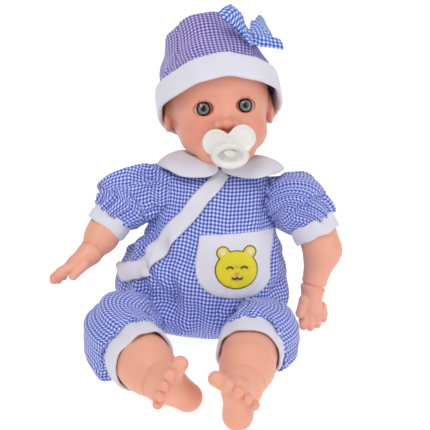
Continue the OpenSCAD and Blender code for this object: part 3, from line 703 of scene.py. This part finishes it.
def forearm(side, elbow, wrist, radius, fingers, palm, thumb):
    end, direction = cuff_of(side, "arm")
    parts = [
        (end - 6 * direction, end + 5 * direction, radius - 2.2, radius, 1),
        (end + 5 * direction, elbow, radius, radius - 0.2, 6),
        (elbow, wrist, radius - 0.6, 10.6, 8),
        (wrist, palm, 10.2, 9.8, 6),
    ]
    fingers = np.reshape(fingers, (-1, 3, 3))
    for knuckle, tip, bend in fingers:
        middle = (knuckle + tip) / 2 + bend
        parts.append((lerp(palm, knuckle, 0.6), knuckle, 5.4, 5.0, 3))
        parts.append((knuckle, middle, 5.0, 4.6, 1.6))
        parts.append((middle, tip, 4.7, 3.9, 0.9))
    parts.append((lerp(palm, thumb[0], 0.5), thumb[0], 5.6, 5.2, 3))
    parts.append((thumb[0], thumb[1], 5.1, 4.2, 1.4))
    crease = wrist + 1.5 * unit(elbow - wrist)
    field = limb_field(parts, [(crease, wrist - elbow, 11.6, 1.3)], 1.6)
    low, high = box_of(parts)

    def blush_and_shade(p):
        # blush over the arm, with painted shade in the wrist crease
        spots = [0.4 * near(p, crease, 15), 0.25 * near(p, elbow, 16)]
        for knuckle, tip, _ in fingers:
            spots += [0.45 * near(p, tip, 8), 0.25 * near(p, knuckle, 7)]
        return np.maximum.reduce(spots)

    obj = sculpt(f"{side}_forearm_skin", field, low, high, 0.95, world, skin, blush_and_shade)
    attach(obj, f"{side}_arm")
    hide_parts(f"{side}_arm")


forearm(
    "right", at(-98, -8, 102), at(-107, -30, 96), 15.2,
    [
        [-122, -49, 91, -139, -57, 84, 0, 0, 1.5],
        [-125.5, -44, 88, -140, -50, 77.5, -1, 0, 1.5],
        [-127, -38.5, 85, -137, -42, 73.5, -1.5, 0, 1],
        [-126, -33.5, 83, -133, -35, 73.5, -1.5, 0, 1],
    ],
    at(-119, -41, 89), (at(-112, -47, 92), at(-121, -58, 86)),
)
forearm(
    "left", at(112, -4, 86), at(103.4, -14, 52), 17.4,
    [
        [94.5, -22, 27, 94.5, -24.5, 14, 0, -2, 0],
        [101, -21, 26, 101.3, -23, 12, 0, -2, 0],
        [107, -18.5, 27, 108, -20, 13.5, 0, -2, 0],
        [111.8, -15, 30, 114, -15.5, 17.5, 0.5, -1.6, 0],
    ],
    at(102, -19, 33.7), (at(95, -22, 41), at(90.5, -28, 30)),
)


def lower_leg(side, calf, ankle, ankle_r, heel, ball, toes):
    end, shin = cuff_of(side, "leg")
    parts = [
        (end - 11 * shin, end + 4 * shin, 24, 24, 1),
        (end + 4 * shin, calf, 24, 23, 8),
        (calf, ankle, 23, ankle_r, 10),
        (ankle, heel, ankle_r - 1, 12, 8),
        (heel, ball, 11.5, 11, 7),
        (ankle, ball, ankle_r - 2.5, 11, 8),
    ]
    toes = [(at(*toe[:3]), toe[3]) for toe in toes]
    for tip, r in toes:
        root = lerp(ball, tip, 0.7)
        parts.append((ball, root, 9, r - 0.4, 3))
        parts.append((root, tip + 2.4 * unit(tip - ball), r - 0.2, r, 0.6))
    crease = lerp(ankle, calf, 0.18)
    field = limb_field(parts, [(crease, ankle - calf, ankle_r + 1.8, 1.6)], 2.2)
    low, high = box_of(parts)

    def blush_and_shade(p):
        # blush over the foot, with painted shade in the ankle crease
        spots = [0.3 * near(p, heel, 18), 0.25 * near(p, ball, 16), 0.4 * near(p, crease, 14)]
        spots += [0.45 * near(p, tip, 9) for tip, _ in toes]
        return np.maximum.reduce(spots)

    obj = sculpt(f"{side}_lower_leg_skin", field, low, high, 1.1, world, skin, blush_and_shade)
    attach(obj, f"{side}_leg")
    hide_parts(f"{side}_leg")


lower_leg(
    "right", at(-50, -125, 29), at(-35, -147, 27), 17.5, at(-15, -150, 14), at(-30, -161, 34),
    [
        [-21, -168, 57, 7],
        [-29, -171, 48.5, 5.5],
        [-33.5, -171, 39.5, 5.1],
        [-37, -170, 30, 4.9],
        [-39, -168, 20.5, 4.7],
    ],
)
lower_leg(
    "left", at(38, -128, 31), at(33, -156, 28), 17, at(29, -178, 13), at(28, -180, 38),
    [
        [12, -185, 53, 7],
        [21.5, -188, 49, 5.5],
        [29, -189, 43.5, 5.1],
        [35.5, -188.5, 37.5, 4.9],
        [41, -187, 31, 4.7],
    ],
)

# ---- Romper ----

# Height along the body, half width, depth in front, depth behind
TORSO_TABLE = [
    [-47, 30, 12, 12],
    [-42, 52, 26, 26],
    [-30, 72, 41, 41],
    [-15, 82, 48.5, 48.5],
    [0, 85, 51, 51],
    [18, 80.5, 52, 52.5],
    [36, 72, 52, 53],
    [46, 66, 51.5, 52],
    [58, 61, 50, 50],
    [72, 58.5, 47, 47],
    [86, 58, 44, 43.5],
    [98, 58, 40, 39.5],
    [107, 54.5, 35.5, 35],
    [114, 48, 31.5, 31.5],
    [119, 40, 29, 29],
    [121.5, 32.5, 27.5, 27.5],
]


TORSO_POWER = 0.92
HEM, NECK = TORSO_TABLE[0][0], TORSO_TABLE[-1][0]


def sway(z):
    """The romper's bottom bulges to the doll's right."""
    return -6.0 * (1 - ramp(z, 8, 58))


def torso_local(z, a):
    """A point of the romper at height z along the body and angle a, -90 degrees being the front."""
    half, front, back = np.moveaxis(spline(TORSO_TABLE, z), -1, 0)
    x = half * signed_power(np.cos(a), TORSO_POWER) + sway(z)
    y = np.where(np.sin(a) > 0, back, front) * signed_power(np.sin(a), TORSO_POWER)
    return np.stack([x, y, z + 0 * a], -1)


def torso_folds(local):
    """How far the romper's surface stands out at a local point, in millimetres."""
    x, y, z = local[..., 0], local[..., 1], local[..., 2]
    soft = 1.3 * wrinkle(local * [1, 1, 0.6], 30, 3)
    fine = 0.5 * wrinkle(local * [1.0, 1.0, 0.35], 13, 5)
    lap = ramp(-z, -34, 10) * ramp(-y, 5, 35)
    belly = np.exp(-(((z - 12) / 20) ** 2)) * ramp(-y, 0, 30)
    fan = np.arctan2(z + 46, x + 6)
    rays = belly * 2.8 * (np.abs(wrinkle(np.stack([fan * 40, 0.06 * z], -1), 9, 14)) - 0.8)
    creases = rays + lap * 3.4 * wrinkle(np.stack([x, z * 0.5], -1), 24, 9)
    waist = 2.3 * np.exp(-(((z - 40) / 16) ** 2)) * wrinkle(np.stack([x, y, z * 0.25], -1), 12, 12)
    behind_pocket = ramp(x, -26, -14) * (1 - ramp(x, 52, 64)) * ramp(z, -12, 0) * (1 - ramp(z, 60, 70))
    under_pocket = behind_pocket * (y < 0)
    return (soft + fine + creases + waist) * (1 - 0.85 * under_pocket)


def place_torso(local, extra=0.0):
    centre = local * [0.25, 0.25, 1.0]
    out = unit(local - centre)
    spots = torso.out(local + out * (torso_folds(local) + extra)[..., None])
    spots[..., 2] = np.maximum(spots[..., 2], 0.25)
    return spots


def romper_body():
    zs = np.concatenate([np.linspace(NECK, -30, int(98 / STEP)), np.linspace(-31.5, HEM, 14)])[:, None]
    angles = once_round(int(200 / STEP) + 1)
    spots = place_torso(torso_local(zs + 0 * angles, angles + 0 * zs))
    foot = torso.out((-2.5, 0.0, HEM))
    foot[2] = 0.25
    spots = np.concatenate([spots, np.broadcast_to(foot, (1,) + spots.shape[1:])])
    obj = cloth_grid("romper_body", spots, romper_cloth, 1.2, start=angles.size // 2)
    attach(obj, "torso")
    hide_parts("romper_bodice", "romper_seat")
    return obj


romper = romper_body()


def front(x, z, out):
    """A point on the romper's front at local x and z, standing out by out mm."""
    x, z = np.asarray(x, float), np.asarray(z, float)
    half = spline(TORSO_TABLE, z)[..., 0]
    c = np.clip((x - sway(z)) / half, -0.995, 0.995)
    a = -np.arccos(signed_power(c, 1 / TORSO_POWER))
    return place_torso(torso_local(z, a), out)


def strip(name, start, end, width, out, thickness, nodes, rows=60, bulge=1.0):
    """A band of white cloth on the romper's front from start to end."""
    start, end = np.array(start, float), np.array(end, float)
    along = unit(end - start)
    side = np.array([-along[1], along[0]])
    t = np.linspace(0, 1, rows)[:, None]
    w = np.linspace(-0.5, 0.5, 13)[None, :]
    wobble = 0.35 * np.sin(t * 19) * width / 13
    x, z = (start[k] + (end - start)[k] * t + side[k] * (w * width + wobble) for k in (0, 1))
    lift = out + bulge * (1 - (2 * w) ** 4) + 0 * t
    obj = cloth_grid(name, front(x, z, lift), white_cloth, thickness)
    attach(obj, "torso")
    if nodes:
        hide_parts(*nodes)
    return obj


placket = strip("placket_strip", (4, 117), (-64, 22), 13.5, 1.2, 1.2, ["placket"])
tab = strip("placket_tab", (-57, 23), (-84, 12), 15, 2.4, 1.4, [], rows=26, bulge=1.4)


def patch(x0, x1, z_top, z_low, slant, out):
    """Places and lifts of a pocket with a slanting top and round lower corners."""
    u = np.linspace(-1, 1, 41)[:, None]
    v = np.linspace(0, 1, 41)[None, :]
    x = (x0 + x1) / 2 + u * (x1 - x0) / 2 * (1 - 0.05 * (1 - v)) + 0 * v
    low = z_low + 30 * (1 - (1 - np.abs(u) ** 2.6) ** 0.5)
    top = z_top + slant * (u + 1) / 2
    z = top + (low - top) * v
    edge = np.minimum(1 - np.abs(u), np.minimum(v, 1 - v))
    return x, z, out + 0.9 * ramp(edge, 0, 0.08)


px, pz, plift = patch(-16, 57, 58, 1, 9, 0.8)
pocket = cloth_grid("pocket_patch", front(px, pz, plift), white_cloth, 1.2)
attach(pocket, "torso")
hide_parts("pocket")

# ---- Bear appliqué ----

BEAR_AT = np.array([22.0, 31.0])
BEAR_TILT = math.radians(5)


def satin(name, colour):
    s = Shader(name, roughness=0.4)
    r, g, b = colour
    s.colour(s.mix(s.noise(60.0), rgb(r, g, b), rgb(r * 0.85, g * 0.85, b * 0.8)))
    fine = s.node("ShaderNodeTexWave", Scale=420.0, Distortion=0.6)
    s.links.new(s.place(), fine.inputs["Vector"])
    s.bump(fine.outputs["Fac"], 0.12, 0.5)
    return s.material


BEAR_YELLOW = satin("bear_yellow", (0.78, 0.66, 0.01))
BEAR_OUTLINE = satin("bear_outline", (0.16, 0.10, 0.005))
BEAR_CREAM = satin("bear_cream", (0.85, 0.70, 0.45))
BEAR_PINK = satin("bear_pink", (0.80, 0.30, 0.26))
BEAR_DARK = satin("bear_dark", (0.05, 0.035, 0.01))


def bear_outline(grow):
    """The head's outline with two ears, as points round the bear's middle."""
    a = np.linspace(0, 2 * math.pi, 181)[:-1]
    steps = np.linspace(0, 30, 301)
    x = steps[None, :] * np.cos(a)[:, None]
    z = steps[None, :] * np.sin(a)[:, None]
    d = np.hypot(x / 20.2, (z + 2.4) / 18.6) * 19.2 - 19.2
    for ear_x in (-12.4, 12.4):
        d = join(d, np.hypot(x - ear_x, z - 14) - 6.4, 1.2)
    reach = np.where(d < grow, steps[None, :], 0).max(1)
    return np.stack([reach * np.cos(a), reach * np.sin(a)], -1)


def on_pocket(points, out):
    """Points round the bear's middle, laid on the pocket with the bear's tilt."""
    c, s = math.cos(BEAR_TILT), math.sin(BEAR_TILT)
    x, z = points[..., 0] * c - points[..., 1] * s, points[..., 0] * s + points[..., 1] * c
    return front(BEAR_AT[0] + x, BEAR_AT[1] + z, out + 0 * x)


def filled(name, outline, out, material):
    shares = np.array([0.02, 0.2, 0.4, 0.6, 0.75, 0.88, 0.97, 1.0])
    middle = outline.mean(0)
    loop = np.concatenate([outline, outline[:1]])
    grid = middle + (loop - middle)[None] * shares[:, None, None]
    spots = on_pocket(grid, out)
    spots[-1] = on_pocket(grid[-1], out - 0.5)
    obj = cloth_grid(name, spots[::-1], material, 0.9)
    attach(obj, "torso")
    return obj


def drawn(name, line, width, out, material):
    """A thin satin-stitched line through points."""
    line = np.asarray(line, float)
    along = unit(np.gradient(line, axis=0))
    side = np.stack([-along[:, 1], along[:, 0]], -1)
    w = np.linspace(-0.5, 0.5, 5) * width
    grid = line[:, None] + side[:, None] * w[None, :, None]
    lift = out + 0.35 * (1 - (2 * np.linspace(-0.5, 0.5, 5)) ** 2)
    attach(cloth_grid(name, on_pocket(grid, lift), material, 0.5), "torso")


def arc(cx, cz, r, a0, a1, n=18, squash=1.0):
    a = np.radians(np.linspace(a0, a1, n))
    return np.stack([cx + r * np.cos(a), cz + squash * r * np.sin(a)], -1)


bear_edge = filled("bear_edging", bear_outline(0.0), 2.1, BEAR_OUTLINE)
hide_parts("bear_patch")
filled("bear_face", bear_outline(-1.1), 2.5, BEAR_YELLOW)
for tag, ear_x in (("right", -12.8), ("left", 12.8)):
    filled(f"bear_{tag}_inner_ear", arc(ear_x, 14.6, 3.0, 0, 360, 25)[:-1], 2.9, BEAR_CREAM)
    drawn(f"bear_{tag}_eye", arc(ear_x * 0.5, -2.4, 3.2, 25, 155), 0.75, 3.0, BEAR_DARK)
filled("bear_nose", arc(0, -6.0, 1.9, 0, 360, 21, 0.8)[:-1], 2.9, BEAR_PINK)
filled("bear_tongue", arc(0, -11.6, 1.7, 0, 360, 21)[:-1], 2.9, BEAR_PINK)
for tag, corner_x, from_angle in (("right", -2.3, 190), ("left", 2.3, 185)):
    drawn(f"bear_mouth_{tag}", arc(corner_x, -8.6, 2.3, from_angle, from_angle + 165), 0.6, 3.05, BEAR_DARK)

# ---- Collar ----


def collar(name, a0, a1, reach, low, node):
    rows, columns = 61, 17
    t = np.linspace(0, 1, rows)[:, None]
    s = np.linspace(0, 1, columns)[None, :]
    a = np.radians(a0 + (a1 - a0) * t)
    spread = np.minimum(1, 0.30 + 0.775 * np.sqrt(np.clip(np.minimum(t, 1 - t) * 4.2, 0, 1)))
    inner = np.stack([31.5 * np.cos(a), 27.5 * np.sin(a), 121 + 6 * np.cos(a) ** 2], -1)
    outer = np.stack([reach * np.cos(a), 47 * np.sin(a), low + 9 * np.cos(a) ** 2], -1)
    share = s * spread
    spots = inner * (1 - share[..., None]) + outer * share[..., None]
    arch = 5.2 * np.sin(np.pi * s) ** 0.6
    wave = 0.8 * wrinkle(np.stack([t * 90 + 0 * s, s * 25 + 0 * t], -1), 26, 21)
    spots[..., 2] += arch + wave * s + 1.2
    spots = torso.out(spots)
    obj = cloth_grid(name, spots, white_cloth, 3.0)
    soften = obj.modifiers.new("Rounded", "BEVEL")
    soften.width = 1.2 * MM
    soften.segments = 3
    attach(obj, "torso")
    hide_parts(node)
    return obj


collar_right = collar("collar_flap_right", 265, 94, 56.5, 105, "collar_right")
collar_left = collar("collar_flap_left", 86, -85, 61, 110, "collar_left")


# ---- Sleeves and trouser legs ----


def tube(stations, t, reference):
    """Centres, radii and two cross directions of a tube through stations [knot, x, y, z, radius]."""
    values = spline(stations, t)
    centre, radius = values[:, :3], values[:, 3]
    along = unit(np.gradient(centre, axis=0))
    u = unit(np.cross(reference, along))
    return centre, radius, u, np.cross(along, u), along


def puffed_leg(name, stations, reference, gather, seed, node, root_at, floor=None, seam=0.0):
    m, n = int(90 / STEP), int(170 / STEP) + 1
    t = np.linspace(0, 1, m)
    centre, radius, u, v, along = tube(stations, t, reference)
    a = np.linspace(0, 2 * math.pi, n)[None, :] + seam
    length = np.concatenate([[0], np.cumsum(np.linalg.norm(np.diff(centre, axis=0), axis=1))])
    left = (length[-1] - length)[:, None]
    turns = np.stack([np.cos(a) * 26 + 0 * left, np.sin(a) * 26 + 0 * left, left * 0.16 + 0 * a], -1)
    pleats = np.abs(wrinkle(turns, 7.5, seed)) - 0.8
    soft = wrinkle(turns * [1, 1, 2.4], 30, seed + 1)
    near_cuff = np.exp(-((left / gather) ** 2))
    near_root = np.exp(-(((length[:, None] - root_at) / 16.0) ** 2))
    drape = np.abs(wrinkle(turns * [1, 1, 1.5], 17, seed + 2)) - 0.8
    folds = (2.2 * near_cuff + 3.0 * near_root) * pleats + 1.8 * soft + 2.3 * drape
    r = radius[:, None] + np.maximum(folds, -1.2 + 0.25 * folds)
    outward = np.cos(a)[..., None] * u[:, None] + np.sin(a)[..., None] * v[:, None]
    spots = centre[:, None] + r[..., None] * outward
    if floor is not None:
        low = spots[..., 2]
        spots[..., 2] = np.where(low < floor + 3, floor + 3 * np.exp((low - floor - 3) / 3.0), low)
    obj = cloth_grid(name, spots, romper_cloth, 1.2, start=n // 2)
    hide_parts(node)
    return obj


def cuff(name, centre, axis, radius, width, thickness, material, body, nodes, seed):
    axis = unit(axis)
    u = unit(np.cross((0, 0, 1) if abs(axis[2]) < 0.9 else (0, 1, 0), axis))
    v = np.cross(axis, u)
    a = np.linspace(0, 2 * math.pi, int(150 / STEP) + 1)[None, :]
    k = np.linspace(0, 2 * math.pi, 33)[:, None]
    along = signed_power(np.cos(k), 0.45) * width / 2
    rise = signed_power(np.sin(k), 0.6) * thickness / 2
    wave = 0.7 * wrinkle(ring_points(a, 30), 22, seed)
    slump = 0.9 * wrinkle(ring_points(a, 30), 34, seed + 4)
    dimple = -0.35 * np.exp(-(((along + width / 2 - 4) / 0.8) ** 2)) * (np.sin(k) > 0)
    r = radius - thickness / 2 + rise + wave + dimple
    outward = np.cos(a)[..., None] * u + np.sin(a)[..., None] * v
    spots = centre + (along + slump)[..., None] * axis + r[..., None] * outward
    spots = spots + 0 * k[..., None]
    spots[..., 2] = np.maximum(spots[..., 2], 0.2)
    faces = grid_faces(*spots.shape[:2])
    obj = build(name, spots.reshape(-1, 3), faces, material, arc_uv(spots).reshape(-1, 2))
    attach(obj, body)
    if nodes:
        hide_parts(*nodes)


def sleeve(side, puff, puff_r, cuff_r, seed):
    root = joint_at(f"{side}_shoulder_swing")
    end, direction = cuff_of(side, "arm")
    outward = root + at(0, 0, 3)
    inner = lerp(root, torso.out((0, 0, 91)), 0.5) + at(0, 0, 2)
    stations = [
        [0, *inner, 23],
        [0.28, *outward, 26.5],
        [0.54, *puff, puff_r],
        [0.78, *lerp(puff, end - 9 * direction, 0.6), puff_r - 2],
        [0.93, *(end - 8.5 * direction), 22.5],
        [1.0, *(end - 5.0 * direction), cuff_r - 1.2],
    ]
    arm, reference = f"{side}_upper_arm", np.array([0, 1.0, 0.2])
    obj = puffed_leg(
        f"{side}_sleeve_puff", stations, reference, 11.0, seed, f"{side}_sleeve", 34, seam=math.pi / 2
    )
    toward = unit(puff - root)
    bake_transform(obj)
    band = f"{side}_sleeve_band"
    cuff(band, end, direction, cuff_r + 0.4, 15.5, 3.2, white_cloth, arm, [f"{side}_sleeve_cuff"], seed + 30)
    return obj


right_sleeve = sleeve("right", at(-73, 19, 128.5), 28.5, 20.6, 41)
left_sleeve = sleeve("left", at(86, 16, 126), 30.5, 21.6, 43)


def trouser(side, stations, above_band, at_band, seed):
    """Upper stations are given; the last two run into the band with the radii given."""
    end, shin = cuff_of(side, "leg")
    stations = stations + [[0.93, *(end - 10 * shin), above_band], [1.0, *(end - 6 * shin), at_band]]
    thigh, leg, reference = f"{side}_thigh", f"{side}_trouser_leg", np.array([0, 0, 1.0])
    puff = f"{side}_trouser_puff"
    obj = puffed_leg(puff, stations, reference, 18.0, seed, leg, 34, floor=0.3, seam=math.pi)
    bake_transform(obj)
    band, lining = f"{side}_trouser_band", f"{side}_trouser_lining"
    cuff(band, end, shin, 30.8, 22, 3.6, white_cloth, thigh, [f"{side}_trouser_cuff"], seed + 30)
    cuff(lining, end - 1.5 * shin, shin, 27.4, 17, 1.0, romper_cloth, thigh, [], seed + 30)
    return obj


right_trouser = trouser(
    "right",
    [
        [0, -64, -18, 30, 26],
        [0.22, -66, -42, 30, 27.5],
        [0.45, -73, -62, 33, 34.5],
        [0.70, -77, -82, 34.5, 36],
    ],
    33, 29.6, 51,
)
left_trouser = trouser(
    "left",
    [
        [0, 50, -18, 28, 24],
        [0.22, 51, -42, 28.5, 26.5],
        [0.45, 54, -60, 31, 32],
        [0.70, 54.5, -76, 33, 33.5],
    ],
    32.5, 29.4, 61,
)

# ---- Hat ----

# Height, half width, half depth, rise from the forehead to the nape
CROWN_TABLE = [
    [-22, 57.2, 61.2, 22],
    [-14.4, 56.4, 60.4, 20],
    [0, 53.2, 57.6, 13],
    [18, 48.8, 53.5, 5],
    [34, 45.5, 50, 0],
    [45, 44, 48, 0],
    [51, 43, 47, 0],
    [54, 41, 44.5, 0],
    [55.7, 36, 39, 0],
    [56.8, 22, 24, 0],
    [57.2, 0.4, 0.4, 0],
]


def hat_crown():
    m, n = int(84 / STEP), int(220 / STEP) + 1
    edge, seam_z, top = CROWN_TABLE[0][0], CROWN_TABLE[1][0], CROWN_TABLE[-1][0]
    z = edge + (top - edge) * np.sin(np.linspace(0, math.pi / 2, m)) ** 1.2
    wide, deep, rise = spline(CROWN_TABLE, z).T[:, :, None]
    a = once_round(n)
    back = 3.5 * np.maximum(0, np.sin(a))
    high_at = z[:, None] + rise * (1 + np.sin(a)) / 2
    local = np.stack([wide * np.cos(a), (deep + back) * np.sin(a), high_at], -1)
    high = ramp(z, -12, 8)[:, None] * (1 - 0.6 * ramp(z, 51, 57)[:, None])
    folds = 0.9 * wrinkle(local * [1, 1, 0.4], 22, 71) + 1.3 * wrinkle(local, 40, 72)
    seam = 0 * a
    for degrees in (-138, -48, 42, 132):
        seam += np.exp(-((np.angle(np.exp(1j * (a - math.radians(degrees)))) / 0.03) ** 2))
    pleats = np.abs(wrinkle(ring_points(a, 58), 8, 73)) - 0.8
    puckers = 0.8 * np.exp(-(((z[:, None] - seam_z) / 14) ** 2)) * pleats
    puff = folds * high + puckers - 2.4 * seam * high
    local = local + unit(local * [1, 1, 0.6] + 1e-6) * puff[..., None]
    spots = hat.out(local)[::-1]
    flat = np.where(wide[::-1, :, None] < 40, local[::-1, :, :2], arc_uv(spots, n // 2))
    obj = cloth_grid("hat_crown_cloth", spots, hat_cloth, 1.2, uv=flat)
    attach(obj, "hat")
    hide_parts("hat_crown")


hat_crown()


def hat_brim():
    a = once_round(int(200 / STEP) + 1)
    k = np.linspace(0, 2 * math.pi, 41)[:, None]
    width, thick = 28, 5.4
    along = signed_power(np.cos(k), 0.5) * width / 2
    rise = signed_power(np.sin(k), 0.7) * thick / 2
    wave = 0.6 * wrinkle(ring_points(a, 58), 30, 81)
    sway_line = 0.9 * wrinkle(ring_points(a, 58), 60, 82)
    z = -28.8 + along + sway_line + (22 - along / 6) * (1 + np.sin(a)) / 2
    rx, ry = 58.2 + rise + wave, 62.2 + rise + wave
    local = np.stack([rx * np.cos(a), ry * np.sin(a), z + 0 * a], -1)
    spots = hat.out(local).reshape(-1, 3)
    faces = grid_faces(*local.shape[:2])
    obj = build("hat_brim_roll", spots, faces, white_cloth, arc_uv(local).reshape(-1, 2))
    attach(obj, "hat")
    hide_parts("hat_band")


hat_brim()

BOW_AT = at(28, -57.6, 9)
bow_axes = np.array([turned(row, (0, 10, 38)) for row in np.eye(3)])
bow = Place(hat.out(BOW_AT), *(bow_axes @ hat.axes))


def bow_piece(stations, seed):
    """A flat tube of cloth through stations [x, y, z, width, puff], pinched at its first one."""
    m, n = 34, 41
    t = np.linspace(0, 1, m)
    knots = np.linspace(0, 1, len(stations))
    values = spline(np.concatenate([knots[:, None], stations], 1), t)
    centre = values[:, :3]
    along = unit(np.gradient(centre, axis=0))
    across = unit(np.cross(along, (0, 1, 0)))
    deep = np.cross(across, along)
    a = np.linspace(0, 2 * math.pi, n)[None, :]
    flat = signed_power(np.cos(a), 0.7)
    gather = np.exp(-t / 0.28)[:, None]
    crimp = 1 + 0.25 * gather * np.cos(flat * 9)
    spots = centre[:, None] + (values[:, 3:4] * flat)[..., None] * across[:, None]
    thick = values[:, 4:5] * np.sin(a) * crimp + 1.1 * gather * np.cos(flat * 8)
    spots = spots + thick[..., None] * deep[:, None]
    ripple = 0.6 * wrinkle(spots, 16, seed) * ramp(t, 0.1, 0.5)[:, None]
    return spots + ripple[..., None] * deep[:, None]


def bow_object():
    pieces = [
        bow_piece(
            [[-3, 0, 1, 3.5, 2.5], [-11, -1.5, 7, 9.5, 4.5], [-19, -1.5, 13.5, 14, 5], [-27.5, 0, 19, 15, 1]],
            91,
        ),
        bow_piece(
            [
                [3, 0, 4, 4, 2.5],
                [13.5, -1.5, 11, 12, 4.5],
                [18.5, -1, 19, 14, 4.5],
                [18.5, 0, 30, 7.5, 2.5],
                [17.5, 0, 41, 1.4, 0.6],
            ],
            92,
        ),
        bow_piece(
            [[3, 0, -1, 4, 2], [13, -2, 0.5, 6.2, 1.6], [24, -5, 3.5, 6.6, 1.2], [37, -8.5, 7, 7.2, 0.7]],
            93,
        ),
        bow_piece([[0.5, 0, -3.5, 3, 1.8], [2, -2, -8, 4.2, 1.4], [5, -3.5, -13, 4.8, 0.7]], 94),
    ]
    a = np.linspace(0, 2 * math.pi, 33)[None, :]
    b = np.linspace(0.05, math.pi - 0.05, 21)[:, None]
    round_x, round_y = 5.6 * np.sin(b) * np.cos(a), 5.2 * np.sin(b) * np.sin(a) - 1.0
    knot = np.stack([round_x, round_y, 6.0 * np.cos(b) + 0 * a], -1)
    knot[..., 1] += 0.5 * np.cos(knot[..., 0] * 3)
    pieces.append(knot)
    points, faces, uv, count = [], [], [], 0
    for k, grid in enumerate(pieces):
        m, n = grid.shape[:2]
        faces.append(grid_faces(m, n)[:, ::-1] + count)
        points.append(bow.out(grid).reshape(-1, 3))
        uv.append(arc_uv(grid).reshape(-1, 2) + k * 7.3)
        count += m * n
    points, faces, uv = np.concatenate(points), np.concatenate(faces), np.concatenate(uv)
    obj = build("hat_bow", points, faces, bow_cloth, uv)
    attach(obj, "hat")
    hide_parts("bow_loops", "bow_tails", "bow_knot")


bow_object()

# ---- Floor, light and camera ----


def floor_material():
    s = Shader("studio_floor", roughness=0.9)
    s.colour(s.mix(s.noise(3.0), rgb(0.36, 0.36, 0.36), rgb(0.34, 0.34, 0.34)))
    s.surface.inputs["Emission Color"].default_value = rgb(1, 1, 1)
    s.surface.inputs["Emission Strength"].default_value = 0.85
    return s.material


bpy.ops.mesh.primitive_plane_add(size=8, location=(0, 0, -0.0005))
floor = bpy.context.object
floor.name = "studio_floor"
floor.data.materials.append(floor_material())


def studio_world():
    """A pale backdrop for the camera that gives less light than it shows."""
    backdrop = bpy.data.worlds.new("studio")
    backdrop.use_nodes = True
    tree = backdrop.node_tree
    sky = tree.nodes["Background"]
    sky.inputs[0].default_value = rgb(0.98, 0.985, 1.0)
    seen = tree.nodes.new("ShaderNodeLightPath")
    level = tree.nodes.new("ShaderNodeMapRange")
    level.inputs["To Min"].default_value = 0.5
    level.inputs["To Max"].default_value = 1.05
    tree.links.new(seen.outputs["Is Camera Ray"], level.inputs["Value"])
    tree.links.new(level.outputs["Result"], sky.inputs[1])
    return backdrop


bpy.context.scene.world = studio_world()


AIM = Vector((0.0, -0.02, 0.14))


def area_light(name, place, size, power):
    """A square lamp at place, facing the doll's middle."""
    data = bpy.data.lights.new(name, "AREA")
    data.size = size
    data.energy = power
    light = bpy.data.objects.new(name, data)
    light.location = place
    light.rotation_euler = (AIM - Vector(place)).to_track_quat("-Z", "Y").to_euler()
    bpy.context.scene.collection.objects.link(light)


area_light("key", (-0.7, -1.1, 1.3), 0.9, 2)
area_light("fill", (1.1, -0.9, 0.8), 1.2, 6)
area_light("catch", (-0.35, -0.68, 1.55), 0.42, 8)
area_light("top", (0.1, 0.5, 1.5), 1.2, 2.5)

camera_data = bpy.data.cameras.new("camera")
camera_data.lens = 115
camera_data.sensor_width = 36
camera = bpy.data.objects.new("camera", camera_data)
camera.location = (0.0094, -1.1782, 0.6702)
camera.rotation_euler = (math.radians(65), 0, 0)
bpy.context.scene.collection.objects.link(camera)
bpy.context.scene.camera = camera
bpy.context.scene.view_settings.view_transform = "Standard"
